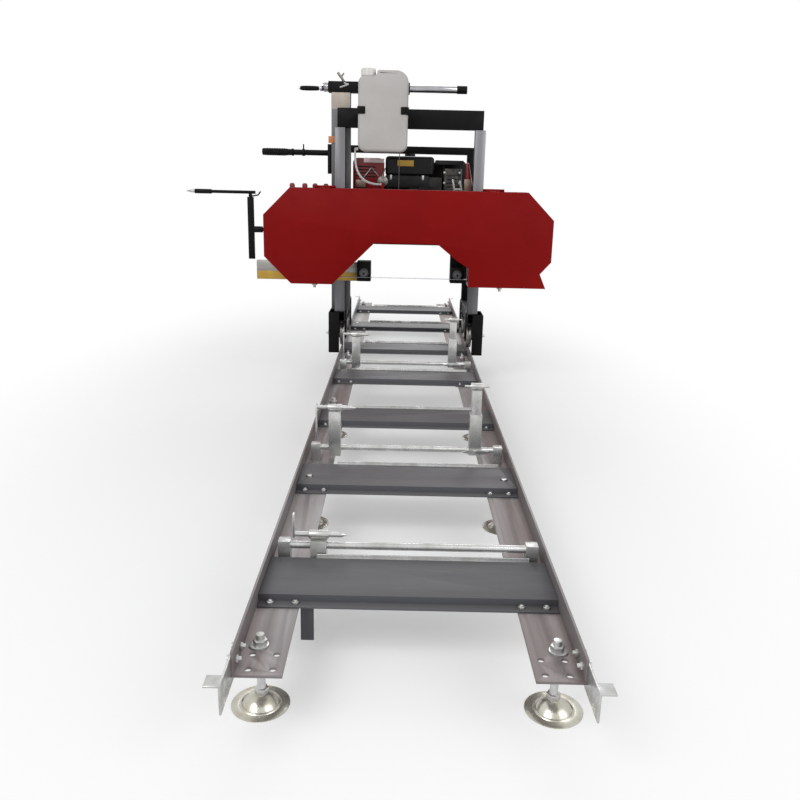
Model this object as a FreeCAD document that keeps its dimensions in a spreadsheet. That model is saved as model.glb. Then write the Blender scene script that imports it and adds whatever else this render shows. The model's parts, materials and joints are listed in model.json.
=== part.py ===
"""Portable band sawmill: a track on levelling feet, a four-post carriage and a saw head that a hoist lifts."""

import FreeCAD, Part
import math
import os
import sys

import Sketcher
from FreeCAD import Placement, Rotation, Vector

# Driving sizes, in millimetres. Heights named "above" are counted from the top of the rails.
SIZES = {
    # Track
    "track_length": 5400,
    "track_width": 780,
    "rail_top": 215,
    "rail_flange": 112,
    "rail_leg": 63,
    "rail_wall": 6,
    "bed_start": 286,
    "bed_end": 319,
    "bed_depth": 235,
    "bed_plate": 4,
    "bed_rise": 24,
    "bed_foot": 32,
    "bed_lip": 12,
    "bed_gap": 1,
    "lip_left": 256,
    "lip_right": 339,
    "bed_hole": 13,
    "leg_width": 34,
    "leg_length": 130,
    "foot_from_end": 121,
    "foot_inset": 44,
    "foot_radius": 72.5,
    "foot_dome": 50,
    "foot_hub": 17,
    "foot_height": 30,
    "foot_plate": 3,
    "stud_radius": 10,
    "stud_above": 14,
    "nut_radius": 17,
    "nut_height": 15,
    "splice_radius": 8,
    "splice_from_end": 24,
    "splice_length": 58,
    "splice_width": 55,
    "splice_inset": 33,
    "bolt_radius": 5,
    "bolt_head": 9.5,
    "bolt_head_height": 7,
    "stop_reach": 100,
    "stop_hold": 100,
    "stop_plate": 5,
    "stop_height": 70,
    "stop_drop": 15,
    "stop_tab": 32,
    "stop_tab_length": 40,
    # Log clamps
    "clamp_first_gap": 29,
    "clamp_second_gap": 123,
    "clamp_third_gap": 73,
    "clamp_rod_radius": 11,
    "clamp_rod_below": 8,
    "rod_end": 16,
    "rod_end_length": 34,
    "rod_end_gap": 18,
    "post_size": 45,
    "post_wall": 4,
    "stop_post_out": 276,
    "low_post_out": 252,
    "stop_post_high": 138,
    "stop_post_low": 12,
    "stop_post_length": 175,
    "sleeve_radius": 13,
    "sleeve_over": 5,
    "dog_radius": 8,
    "dog_reach": 80,
    "dog_tail": 58,
    "dog_point": 16,
    "dog_handle": 18,
    "dog_handle_length": 125,
    "dog_handle_plate": 6,
    "clamp_out": 260,
    "clamp_base_high": 138,
    "riser_high": 232,
    "riser_overlap": 46,
    "lever_length": 104,
    "lever_height": 22,
    "lever_plate": 6,
    # Carriage
    "side_front": 566,
    "side_length": 650,
    "side_width": 60,
    "side_height": 60,
    "side_above": 150,
    "post_out": 400,
    "mast_post": 60,
    "post_top_above": 1263,
    "frame_wall": 4,
    "top_beam_height": 105,
    "top_beam_half": 415,
    "tank_hook": 40,
    "tank_hook_lap": 44,
    "rear_post": 50,
    "rear_top_above": 1188,
    "rear_beam_height": 46,
    "mast_width": 110,
    "mast_depth": 60,
    "mast_gap": 6,
    "mast_top_above": 1455,
    "hoist_size": 60,
    "hoist_left": 472,
    "hoist_right": 8,
    "shaft_radius": 20,
    "shaft_left": 495,
    "shaft_right": 262,
    "shaft_cap_radius": 22,
    "shaft_cap_length": 58,
    "drum_radius": 24,
    "drum_length": 50,
    "cable_out": 60,
    "cable_radius": 2.5,
    "crank_arm": 150,
    "crank_drop": 23,
    "crank_arm_width": 28,
    "crank_arm_plate": 12,
    "grip_radius": 13,
    "grip_length": 105,
    "grip_gap": 6,
    "push_radius": 16,
    "push_above": 1124,
    "push_length": 257,
    "push_grip_radius": 21,
    "push_grip_length": 145,
    "throttle_out": 620,
    "throttle_radius": 12,
    "throttle_length": 46,
    "throttle_width": 14,
    "tank_left": 292,
    "tank_right": 16,
    "tank_depth": 130,
    "tank_above": 1130,
    "tank_height": 400,
    "tank_round": 34,
    "tank_neck": 34,
    "tank_neck_high": 12,
    "tank_cap_radius": 42,
    "tank_cap_height": 38,
    "cap_from_side": 54,
    "wheel_radius": 65,
    "wheel_flange": 9,
    "wheel_width": 29,
    "wheel_groove": 12,
    "wheel_from_end": 96,
    "axle_radius": 9,
    "axle_head": 16,
    "axle_head_height": 11,
    "axle_nut_height": 8,
    "fork_plate": 6,
    "fork_height": 70,
    "shield_width": 64,
    "shield_in": 402,
    "shield_drop": 40,
    "shield_high": 205,
    "shield_depth": 180,
    # Saw head
    "head_setback_length": 360,
    "wheel_room": 37,
    "cover_above": 400,
    "cover_corner": 150,
    "cover_wall": 3,
    "door_depth": 45,
    "guard_depth": 95,
    "lobe_left_in": 118,
    "arch_left": 190,
    "arch_right": 168,
    "arch_height": 236,
    "step_in": 70,
    "step_height": 148,
    "lobe_right_in": 199,
    "lobe_edge": 105,
    "chute_over": 242,
    "chute_side": 37,
    "chute_height": 82,
    "hinge_radius": 7,
    "hinge_pin": 3,
    "hinge_length": 60,
    "hinge_in": 77,
    "latch_in": 17,
    "latch_radius": 8,
    "latch_length": 22,
    "blade_wheel_out": 547,
    "blade_wheel_radius": 228,
    "blade_wheel_width": 38,
    "blade_wheel_rim": 16,
    "blade_wheel_web": 8,
    "blade_wheel_hub": 45,
    "blade_wheel_hole": 38,
    "blade_wheel_hole_out": 125,
    "blade_thick": 1.2,
    "blade_width": 32,
    "tooth_depth": 6,
    "tooth_tip": 1.5,
    "gullet_length": 9,
    "shaft_size": 15,
    "beam_over": 153,
    "beam_height": 90,
    "beam_depth": 70,
    "beam_wall": 5,
    "sleeve_wall": 6,
    "slide_gap": 1,
    "sleeve_length": 310,
    "sleeve_below": 75,
    "slide_block": 160,
    "tension_travel": 10,
    "screw_radius": 10,
    "screw_rise": 22,
    "tension_hub_gap": 33,
    "tension_hub_length": 48,
    "tension_hub": 18,
    "tension_arm": 36,
    "tension_arm_up": 182,
    "tension_arm_down": 170,
    "tension_arm_plate": 14,
    "handle_link": 26,
    "handle_reach": 1280,
    "handle_over": 11,
    "handle_radius": 9,
    "handle_sleeve": 13,
    "handle_sleeve_length": 95,
    "handle_tip": 34,
    "arm_over": 333,
    "arm_right": 290,
    "arm_depth": 46,
    "arm_height": 58,
    "arm_rise": 54,
    "arm_strip": 50,
    "arm_strip_plate": 5,
    "guide_length": 78,
    "guide_left_rise": 123,
    "guide_low_rise": 9,
    "guide_right_rise": 100,
    "guide_right_out": 250,
    "roller_radius": 21,
    "roller_flange": 27,
    "roller_flange_width": 6,
    "roller_pin": 6,
    # Engine
    "shelf_half": 330,
    "shelf_rise": 40,
    "shelf_plate": 10,
    "shelf_depth": 500,
    "belt_slot_length": 90,
    "lug_radius": 11,
    "lug_height": 24,
    "engine_front": 733,
    "crank_out": 100,
    "crank_rise": 140,
    "crankcase_width": 190,
    "crankcase_depth": 190,
    "crankcase_over": 100,
    "crank_boss": 55,
    "cylinder_length": 165,
    "cylinder_height": 140,
    "cylinder_depth": 150,
    "cylinder_low": 70,
    "fin_plate": 5,
    "fin_pitch": 16,
    "fin_depth": 14,
    "shroud_clear": 15,
    "shroud_depth": 70,
    "cowl_left": 322,
    "cowl_width": 150,
    "cowl_height": 300,
    "cowl_depth": 190,
    "cowl_bevel": 50,
    "fuel_left": 142,
    "fuel_width": 290,
    "fuel_height": 118,
    "fuel_depth": 185,
    "fuel_round": 22,
    "fuel_cap_radius": 32,
    "fuel_cap_height": 16,
    "muffler_gap": 8,
    "muffler_width": 112,
    "muffler_depth": 150,
    "muffler_height": 180,
    "muffler_low": 112,
    "muffler_round": 18,
    "slot_height": 8,
    "slot_pitch": 22,
    "pulley_width": 26,
    "pulley_gap": 12,
    "drive_pulley": 85,
    "engine_pulley": 45,
    "belt_width": 13,
    "belt_thick": 8,
    "belt_sink": 1,
    # Water hose
    "hose_radius": 6,
    "barb_radius": 4,
    "barb_length": 26,
    "barb_post": 7,
    "barb_rise": 24,
    "barb_out": 150,
    "hose_in": 38,
    # Fits
    "running_gap": 0.3,
    "overrun": 5,
}

BED_COUNT = 7
FOOT_ROWS = 6
HEX_SIDES = 6
RIM_HOLES = 5
FIN_COUNT = 6
SLOT_COUNT = 6
FULL_TURN = 360
STEEP = 0.5


class Size:
    """A length that carries both its expression for the sheet and its value."""

    def __init__(self, text, value):
        self.text, self.value = text, value

    def _with(self, other, sign, value):
        text = other.text if isinstance(other, Size) else repr(other)
        return Size(f"({self.text} {sign} {text})", value)

    def __add__(self, other):
        return self._with(other, "+", self.value + number(other))

    def __sub__(self, other):
        return self._with(other, "-", self.value - number(other))

    def __mul__(self, other):
        return self._with(other, "*", self.value * number(other))

    def __truediv__(self, other):
        return self._with(other, "/", self.value / number(other))

    def __neg__(self):
        return Size(f"(0 - {self.text})", -self.value)

    def __rmul__(self, other):
        return self * other


def number(value):
    return value.value if isinstance(value, Size) else value


doc = FreeCAD.newDocument("band_sawmill")
sheet = doc.addObject("Spreadsheet::Sheet", "Sizes")
for row, (alias, millimetres) in enumerate(SIZES.items(), 1):
    sheet.set(f"A{row}", alias)
    sheet.set(f"B{row}", str(millimetres))
    sheet.setAlias(f"B{row}", alias)
doc.recompute()


class Table:
    """Gives each driving size by its name."""

    def __getattr__(self, alias):
        return Size(f"Sizes.{alias}", SIZES[alias])


S = Table()
nodes = {}
bodies = {}
serial = iter(range(1, 100000))


# Helpers that make bound objects

def bind(thing, prop, value):
    if isinstance(value, Size):
        thing.setExpression(prop, value.text)
    elif value:
        raise ValueError(f"{prop} of {thing.Name} needs a named size")


def new(kind, hint="piece"):
    return doc.addObject(kind, f"{hint}_{next(serial)}")


def move(thing, at, turn=None):
    """Places an object at a point given in named sizes, with a turn first."""
    start = Vector(*(number(v) for v in at))
    thing.Placement = Placement(start, turn or Rotation())
    for letter, value in zip("xyz", at):
        bind(thing, f"Placement.Base.{letter}", value)
    return thing


AXIS_TURNS = {
    "x": Rotation(Vector(0, 1, 0), 90),
    "-x": Rotation(Vector(0, 1, 0), -90),
    "y": Rotation(Vector(1, 0, 0), -90),
    "-y": Rotation(Vector(1, 0, 0), 90),
    "z": Rotation(),
    "-z": Rotation(Vector(1, 0, 0), 180),
}


def block(xs, ys, zs):
    """A box between two values on each axis."""
    box = new("Part::Box", "block")
    for prop, (low, high) in zip(("Length", "Width", "Height"), (xs, ys, zs)):
        bind(box, prop, span(low, high))
    return move(box, (xs[0], ys[0], zs[0]))


def span(low, high):
    return high - low if isinstance(high, Size) else -low


def rod(radius, length, start, axis="z"):
    """A round bar from its start point along an axis."""
    bar = new("Part::Cylinder", "rod")
    bind(bar, "Radius", radius)
    bind(bar, "Height", length)
    return move(bar, start, AXIS_TURNS[axis])


def cone(radius, tip, length, start, axis="z"):
    point = new("Part::Cone", "cone")
    bind(point, "Radius1", radius)
    bind(point, "Radius2", tip)
    bind(point, "Height", length)
    return move(point, start, AXIS_TURNS[axis])


def hexagon(radius, height, start, axis="z"):
    nut = new("Part::Prism", "hexagon")
    nut.Polygon = HEX_SIDES
    bind(nut, "Circumradius", radius)
    bind(nut, "Height", height)
    return move(nut, start, AXIS_TURNS[axis])


def join(pieces):
    if len(pieces) == 1:
        return pieces[0]
    whole = new("Part::MultiFuse", "join")
    whole.Shapes = list(pieces)
    return whole


def cut(base, tools):
    """Takes the tools out of the base."""
    hollow = new("Part::Cut", "cut")
    hollow.Base = base
    hollow.Tool = join(list(tools))
    return hollow


def group(pieces):
    """Separate solids kept together."""
    together = new("Part::Compound", "group")
    together.Links = list(pieces)
    return together


def copy(thing, offset):
    """The same object again, moved by an offset given in named sizes."""
    link = new("App::Link", "copy")
    link.LinkedObject = thing
    link.LinkTransform = True
    return move(link, offset)


def pipe_box(xs, ys, zs, wall, along):
    """A square tube between two corners, open at both ends along one axis."""
    outer = block(xs, ys, zs)
    inner = [(low + wall, high - wall) for low, high in (xs, ys, zs)]
    index = "xyz".index(along)
    low, high = (xs, ys, zs)[index]
    inner[index] = (low - S.overrun, high + S.overrun)
    return cut(outer, [block(*inner)])


PLANES = {"XY": False, "XZ": True, "YZ": False}


def sketch_outline(body, plane, points):
    """A closed outline on one of the body's own planes, with every corner bound to its sizes."""
    base = next(f for f in body.Origin.OriginFeatures if f.Role == f"{plane}_Plane")
    drawing = body.newObject("Sketcher::SketchObject", f"outline_{next(serial)}")
    drawing.AttachmentSupport = [(base, "")]
    drawing.MapMode = "FlatFace"
    corners = [Vector(number(a), number(b), 0) for a, b in points]
    count = len(corners)
    for index in range(count):
        drawing.addGeometry(Part.LineSegment(corners[index], corners[(index + 1) % count]))
    for index in range(count):
        drawing.addConstraint(Sketcher.Constraint("Coincident", index, 2, (index + 1) % count, 1))
    for index, corner in enumerate(points):
        for kind, axis, value in (("DistanceX", -2, corner[0]), ("DistanceY", -1, corner[1])):
            if isinstance(value, Size):
                limit = Sketcher.Constraint(kind, -1, 1, index, 1, float(value.value))
                place = drawing.addConstraint(limit)
                drawing.setExpression(f"Constraints[{place}]", value.text)
            else:
                drawing.addConstraint(Sketcher.Constraint("PointOnObject", index, 1, axis))
    return drawing


def profile(plane, points, depth, at, turn=None):
    """An outline on a plane, padded along the plane's axis."""
    body = new("PartDesign::Body", "profile")
    pad = body.newObject("PartDesign::Pad", f"pad_{next(serial)}")
    pad.Profile = sketch_outline(body, plane, points)
    pad.Reversed = PLANES[plane]
    bind(pad, "Length", depth)
    return move(body, at, turn)


def turned(points, at, axis="z"):
    """A closed outline of radius and height, turned round the axis."""
    body = new("PartDesign::Body", "turned")
    drawing = sketch_outline(body, "XZ", points)
    spin = body.newObject("PartDesign::Revolution", f"turn_{next(serial)}")
    spin.Profile = drawing
    spin.ReferenceAxis = (drawing, ["V_Axis"])
    spin.Angle = FULL_TURN
    return move(body, at, AXIS_TURNS[axis])


def rounded(body, radius, choose):
    """Rounds the edges of a body that the test picks by their middle point and direction."""
    doc.recompute()
    pad = body.Tip
    names = []
    for index, edge in enumerate(pad.Shape.Edges, 1):
        direction = edge.tangentAt(edge.FirstParameter)
        if choose(direction, edge.CenterOfMass):
            names.append(f"Edge{index}")
    fillet = body.newObject("PartDesign::Fillet", f"round_{next(serial)}")
    fillet.Base = (pad, names)
    bind(fillet, "Radius", radius)
    return body


def node(name, thing):
    """Names a finished sub-part and gives it its own file."""
    thing.Label = name
    nodes[name] = thing
    return thing


# Shared places
COVER_HALF = S.blade_wheel_out + S.blade_wheel_radius + S.wheel_room
COVER_HEIGHT = (S.blade_wheel_radius + S.wheel_room) * 2
CENTRE = (S.handle_reach - COVER_HALF) / 2
NEAR = -S.track_length / 2
FAR = S.track_length / 2
RAIL_HALF = S.track_width / 2
FLANGE_TOP = S.rail_top - S.rail_leg + S.rail_wall
INNER_HALF = RAIL_HALF - S.rail_wall
BED_PITCH = (S.track_length - S.bed_start - S.bed_end - S.bed_depth) / (BED_COUNT - 1)


def above(height):
    return S.rail_top + height


def out(distance, side=1):
    """A place across the track, counted from its centre line."""
    return CENTRE + distance if side > 0 else CENTRE - distance


COVER_Z = above(S.cover_above)
COVER_TOP = COVER_Z + COVER_HEIGHT
WHEEL_Z = COVER_Z + COVER_HEIGHT / 2
SHELF_TOP = WHEEL_Z + S.beam_height / 2 + S.shelf_rise + S.shelf_plate


# Track

def rail(side):
    """An unequal angle with its leg outside, drilled for the joining plates and the feet."""
    if side < 0:
        outline = [(0, 0), (S.rail_flange, 0), (S.rail_flange, S.rail_wall), (S.rail_wall, S.rail_wall),
                   (S.rail_wall, S.rail_leg), (0, S.rail_leg)]
    else:
        outline = [(0, 0), (-S.rail_flange, 0), (-S.rail_flange, S.rail_wall), (-S.rail_wall, S.rail_wall),
                   (-S.rail_wall, S.rail_leg), (0, S.rail_leg)]
    bottom = S.rail_top - S.rail_leg
    angle = profile("XZ", outline, S.track_length, (out(RAIL_HALF, side), NEAR, bottom))
    depth = S.rail_wall + S.overrun + S.overrun
    holes = []
    for across in (S.splice_inset, S.splice_inset + S.splice_width):
        for along in (S.splice_from_end, S.splice_from_end + S.splice_length):
            for end in (NEAR + along, FAR - along):
                start = (out(RAIL_HALF - across, side), end, bottom - S.overrun)
                holes.append(rod(S.splice_radius, depth, start))
    for along in foot_places():
        start = (out(RAIL_HALF - S.foot_inset, side), along, bottom - S.overrun)
        holes.append(rod(S.stud_radius + S.running_gap, depth, start))
    return cut(angle, holes)


def foot_places():
    first = NEAR + S.foot_from_end
    gap = (S.track_length - S.foot_from_end * 2) / (FOOT_ROWS - 1)
    return [first + gap * index for index in range(FOOT_ROWS)]


def every_foot(make):
    """Makes one foot's piece and copies it to every foot place."""
    first = make(out(RAIL_HALF - S.foot_inset, -1), foot_places()[0])
    pieces = [first]
    gap = (S.track_length - S.foot_from_end * 2) / (FOOT_ROWS - 1)
    across = (RAIL_HALF - S.foot_inset) * 2
    for column in range(2):
        for row in range(FOOT_ROWS):
            if row or column:
                pieces.append(copy(first, (across if column else 0, gap * row if row else 0, 0)))
    return group(pieces)


def foot_pad(x, y):
    """A pressed disc with a dome, hollow below, that the stud stands on."""
    plate = S.foot_plate
    outline = [(0, S.foot_height - plate), (S.foot_hub - plate, S.foot_height - plate), (S.foot_dome - plate, 0),
               (S.foot_radius, 0), (S.foot_radius, plate), (S.foot_dome, plate),
               (S.foot_hub, S.foot_height), (0, S.foot_height)]
    return turned(outline, (x, y, 0))


def foot_stud(x, y):
    """A threaded stud with a nut on the pad and one on each side of the rail's flange."""
    low = S.foot_height
    top = FLANGE_TOP + S.nut_height + S.stud_above
    bar = rod(S.stud_radius, top - low, (x, y, low))
    under = FLANGE_TOP - S.rail_wall - S.nut_height
    nuts = [hexagon(S.nut_radius, S.nut_height, (x, y, level)) for level in (low, under, FLANGE_TOP)]
    return join([bar] + nuts)


def bed_outline():
    plate, rise, depth, foot = S.bed_plate, S.bed_rise, S.bed_depth, S.bed_foot
    return [(0, 0), (foot, 0), (foot, rise - plate), (depth - plate, rise - plate), (depth - plate, 0),
            (depth, 0), (depth, rise), (foot - plate, rise), (foot - plate, plate), (0, plate)]


def bed_plank():
    """A folded plate with a bolting foot in front, a lip behind and its back edge on the flanges."""
    half = INNER_HALF - S.bed_gap
    start = NEAR + S.bed_start
    plank = profile("YZ", bed_outline(), half * 2, (out(half, -1), start, FLANGE_TOP))
    back = start + S.bed_depth
    top = FLANGE_TOP + S.bed_rise
    lip = block((out(S.lip_left, -1), out(S.lip_right)), (back - S.bed_plate, back), (top, top + S.bed_lip))
    return join([plank, lip])


def bed_leg():
    """A flat leg that hangs below the first plank."""
    left = out(RAIL_HALF - S.rail_flange - S.bed_gap, -1)
    start = NEAR + S.bed_start + S.bed_foot
    low = FLANGE_TOP + S.bed_rise - S.bed_plate - S.leg_length
    return block((left, left + S.leg_width), (start, start + S.bed_plate), (low, low + S.leg_length))


def bed_planks():
    """All the planks, with room for the foot studs that stand under some of them."""
    first = bed_plank()
    others = [copy(first, (0, BED_PITCH * index, 0)) for index in range(1, BED_COUNT)]
    holes = []
    for y in foot_places():
        for side in (-1, 1):
            holes.append(rod(S.bed_hole, S.bed_rise * 2, (out(RAIL_HALF - S.foot_inset, side), y, FLANGE_TOP)))
    return cut(group([first, bed_leg()] + others), holes)


def frame_bolts():
    """Hexagon bolts: two at each end of each plank and two at each end stop."""
    pieces = []
    pitch = S.bed_foot * 2
    top = FLANGE_TOP + S.bed_plate
    y = NEAR + S.bed_start + S.bed_foot / 2
    x = out(INNER_HALF - S.bed_foot, -1)
    nut = join([hexagon(S.bolt_head, S.bolt_head_height, (x, y, top)),
                rod(S.bolt_radius, S.bolt_head_height / 2, (x, y, top + S.bolt_head_height))])
    head = hexagon(S.bolt_head, S.bolt_head_height, (x, y, FLANGE_TOP - S.rail_wall - S.bolt_head_height))
    first = group([nut, head])
    pieces.append(first)
    inner = (INNER_HALF - S.bed_foot) * 2
    for row in range(BED_COUNT):
        along = BED_PITCH * row if row else 0
        for across in (0, pitch, inner - pitch, inner):
            if row or number(across):
                pieces.append(copy(first, (across, along, 0)))
    for end in (-1, 1):
        for side in (-1, 1):
            for share in STOP_BOLT_SHARES:
                pieces.append(stop_bolt(end, side, S.stop_hold * share))
    return group(pieces)


STOP_BOLT_SHARES = (0.25, 0.75)


def stop_bolt(end, side, back):
    """A bolt through the rail's leg and the end stop, with its nut on the inside."""
    y = NEAR + back if end < 0 else FAR - back
    z = S.rail_top - S.rail_leg / 2
    outer = RAIL_HALF + S.stop_plate
    head = hexagon(S.bolt_head, S.bolt_head_height, (out(outer, side), y, z), "x" if side > 0 else "-x")
    length = S.bolt_head_height * 2
    nut = hexagon(S.bolt_head, S.bolt_head_height, (out(INNER_HALF, side), y, z), "-x" if side > 0 else "x")
    tail = rod(S.bolt_radius, length, (out(INNER_HALF, side), y, z), "-x" if side > 0 else "x")
    return group([head, join([nut, tail])])


def end_stop(end, side):
    """A flat plate bolted outside the rail's leg, with a tab turned out that the carriage meets."""
    edge = NEAR if end < 0 else FAR
    tip = edge - S.stop_reach if end < 0 else edge + S.stop_reach
    inner = edge + S.stop_hold if end < 0 else edge - S.stop_hold
    ys = (tip, inner) if end < 0 else (inner, tip)
    zs = (S.rail_top - S.stop_drop - S.stop_height, S.rail_top - S.stop_drop)
    xs = (out(RAIL_HALF), out(RAIL_HALF + S.stop_plate))
    tab_xs = (out(RAIL_HALF), out(RAIL_HALF + S.stop_plate + S.stop_tab))
    if side < 0:
        xs = (out(RAIL_HALF + S.stop_plate, -1), out(RAIL_HALF, -1))
        tab_xs = (out(RAIL_HALF + S.stop_plate + S.stop_tab, -1), out(RAIL_HALF, -1))
    tab_ys = (tip, tip + S.stop_tab_length) if end < 0 else (tip - S.stop_tab_length, tip)
    return join([block(xs, ys, zs), block(tab_xs, tab_ys, (zs[1] - S.stop_plate, zs[1]))])


# Log clamps

CLAMP_PLANKS = {1: (1, S.clamp_first_gap), 2: (2, S.clamp_second_gap), 3: (4, S.clamp_third_gap)}


def behind_plank(plank, gap):
    """A place along the track, counted from its near end, at a gap behind a plank's back."""
    return S.bed_start + S.bed_depth + BED_PITCH * (plank - 1) + gap


CLAMPS = {place: behind_plank(*where) for place, where in CLAMP_PLANKS.items()}
ROD_Z = S.rail_top - S.clamp_rod_below
POST_OUTS = {1: S.low_post_out, 2: S.stop_post_out, 3: S.stop_post_out}


def clamp_rod(place):
    """A cross rod held over the rails' flanges by an upright block at each end."""
    y = NEAR + place
    half = INNER_HALF - S.rod_end_gap
    pieces = [rod(S.clamp_rod_radius, half * 2, (out(half, -1), y, ROD_Z), "x")]
    for xs in ((out(half, -1), out(half - S.rod_end_length, -1)), (out(half - S.rod_end_length), out(half))):
        pieces.append(block(xs, (y - S.rod_end, y + S.rod_end), (FLANGE_TOP, ROD_Z + S.rod_end)))
    return join(pieces)


def bored_post(low, high, x, y, size):
    """A square tube with a clear hole for the cross rod."""
    half = size / 2
    tube = pipe_box((x - half, x + half), (y - half, y + half), (low, high), S.post_wall, "z")
    bore = rod(S.clamp_rod_radius + S.running_gap, size * 2, (x - size, y, ROD_Z), "x")
    return tube, bore


def stop_post(place, high):
    """The log stop: a square tube on the cross rod, with a round sleeve on top for the dog."""
    x, y = out(POST_OUTS[place], -1), NEAR + CLAMPS[place]
    top = above(high)
    tube, bore = bored_post(top - S.stop_post_length, top, x, y, S.post_size)
    reach = S.post_size / 2 + S.sleeve_over
    axis_z = top + S.sleeve_radius
    sleeve = rod(S.sleeve_radius, reach * 2, (x - reach, y, axis_z), "x")
    hole = rod(S.dog_radius + S.running_gap, reach * 2 + S.overrun * 2, (x - reach - S.overrun, y, axis_z), "x")
    cap = block((x - S.post_size / 2, x + S.post_size / 2), (y - S.post_size / 2, y + S.post_size / 2),
                (top - S.post_wall, top))
    saddle = block((x - S.post_size / 2, x + S.post_size / 2), (y - S.post_wall, y + S.post_wall),
                   (top - S.post_wall, axis_z))
    return cut(join([tube, cap, saddle, sleeve]), [bore, hole])


def stop_dog(place, high, handle_up):
    """A pointed rod through the stop's sleeve, with a flat handle on its tail."""
    x, y = out(POST_OUTS[place], -1), NEAR + CLAMPS[place]
    z = above(high) + S.sleeve_radius
    tail = x - S.post_size / 2 - S.sleeve_over - S.dog_tail + S.dog_handle
    tip = x + S.dog_reach - S.dog_point
    bar = rod(S.dog_radius, tip - tail, (tail, y, z), "x")
    point = cone(S.dog_radius, S.dog_radius / 8, S.dog_point, (tip, y, z), "x")
    plate = S.dog_handle_plate
    if handle_up:
        low, high_z = z - S.dog_handle / 2, z + S.dog_handle_length / 2
    else:
        low, high_z = z - S.dog_handle_length, z + S.dog_handle / 2
    handle = block((tail - plate, tail), (y - S.dog_handle / 2, y + S.dog_handle / 2), (low, high_z))
    return join([bar, point, handle])


def clamp_base(place):
    """The sliding clamp's lower tube, on the cross rod."""
    x, y = out(S.clamp_out), NEAR + CLAMPS[place]
    low = ROD_Z - S.clamp_rod_radius - S.post_wall
    tube, bore = bored_post(low, above(S.clamp_base_high), x, y, S.post_size)
    return cut(tube, [bore])


def clamp_riser(place):
    """The clamp's inner tube, with a round sleeve and a dog rod on top."""
    x, y = out(S.clamp_out), NEAR + CLAMPS[place]
    half = S.post_size / 2 - S.post_wall - S.running_gap
    low = above(S.clamp_base_high - S.riser_overlap)
    top = above(S.riser_high)
    tube = pipe_box((x - half, x + half), (y - half, y + half), (low, top), S.post_wall, "z")
    cap = block((x - half, x + half), (y - half, y + half), (top - S.post_wall, top))
    z = top + S.sleeve_radius
    reach = half + S.sleeve_over
    sleeve = rod(S.sleeve_radius, reach * 2, (x - reach, y, z), "x")
    saddle = block((x - half, x + half), (y - S.post_wall, y + S.post_wall), (top - S.post_wall, z))
    bar = rod(S.dog_radius / 2, reach * 4, (x - reach * 2, y, z), "x")
    return join([tube, cap, saddle, sleeve, bar])


LEVER_SHARES = ((0, 0.5), (0.34, 0), (0.7, 0), (1, 0.28), (1, 0.72), (0.7, 1), (0.34, 1))


def clamp_lever(place):
    """A flat cam lever that locks the clamp's foot, pointed at one end, on a pin."""
    x, y = out(S.clamp_out), NEAR + CLAMPS[place]
    front = y - S.post_size / 2 - S.running_gap
    outline = []
    for along, high in LEVER_SHARES:
        outline.append((S.lever_length * along if along else 0, S.lever_height * high if high else 0))
    blade = profile("XZ", outline, S.lever_plate,
                    (x - S.lever_length / 2, front - S.lever_plate, ROD_Z - S.lever_height / 2))
    pin = rod(S.dog_radius, S.lever_plate / 2, (x, front - S.lever_plate - S.lever_plate / 2, ROD_Z), "y")
    return join([blade, pin])


def build_track():
    node("rail_left", rail(-1))
    node("rail_right", rail(1))
    node("bed_planks", bed_planks())
    node("frame_bolts", frame_bolts())
    node("foot_pads", every_foot(foot_pad))
    node("foot_studs", every_foot(foot_stud))
    node("end_stops", group([end_stop(end, side) for end in (-1, 1) for side in (-1, 1)]))


def build_clamps():
    node("clamp_rods", group([clamp_rod(place) for place in CLAMPS.values()]))
    heights = {1: S.stop_post_low, 2: S.stop_post_high, 3: S.stop_post_high}
    node("stop_posts", group([stop_post(index, heights[index]) for index in CLAMPS]))
    for index in CLAMPS:
        node(f"stop_dog_{index}", stop_dog(index, heights[index], index == 1))
    for index in (2, 3):
        node(f"clamp_base_{index}", clamp_base(index))
        node(f"clamp_riser_{index}", clamp_riser(index))
        node(f"clamp_lever_{index}", clamp_lever(index))


# Carriage

SIDE_BACK = S.side_front + S.side_length
POST_Y = S.head_setback_length + S.door_depth + S.guard_depth + S.beam_depth + S.sleeve_wall + S.slide_gap + S.mast_post / 2
SIDE_TOP = above(S.side_above + S.side_height)
WHEEL_YS = {"front": S.side_front + S.wheel_from_end, "rear": SIDE_BACK - S.wheel_from_end}
WHEEL_OUT = RAIL_HALF - S.rail_wall / 2
AXLE_Z = above(S.wheel_radius + S.running_gap)


def side_frame(side):
    """A longitudinal tube with a fork plate inside each wheel."""
    half = S.side_width / 2
    xs = (out(S.post_out) - half, out(S.post_out) + half)
    inner = out(S.post_out) - half
    if side < 0:
        xs = (out(S.post_out, -1) - half, out(S.post_out, -1) + half)
        inner = out(S.post_out, -1) + half
    base = pipe_box(xs, (S.side_front, SIDE_BACK), (above(S.side_above), SIDE_TOP), S.frame_wall, "y")
    plates = []
    holes = []
    for y in WHEEL_YS.values():
        low = AXLE_Z - S.axle_head * 2
        plate_xs = (inner - S.fork_plate, inner) if side > 0 else (inner, inner + S.fork_plate)
        plates.append(block(plate_xs, (y - S.fork_height / 2, y + S.fork_height / 2), (low, SIDE_TOP)))
        start = (inner - S.fork_plate * 2, y, AXLE_Z)
        holes.append(rod(S.axle_radius + S.running_gap, S.fork_plate * 4, start, "x"))
    return cut(join([base] + plates), holes)


def guide_post(side):
    """A plated square tube that the head slides on."""
    half = S.mast_post / 2
    x = out(S.post_out, side)
    return pipe_box((x - half, x + half), (POST_Y - half, POST_Y + half),
                    (SIDE_TOP, above(S.post_top_above)), S.frame_wall, "z")


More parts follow.
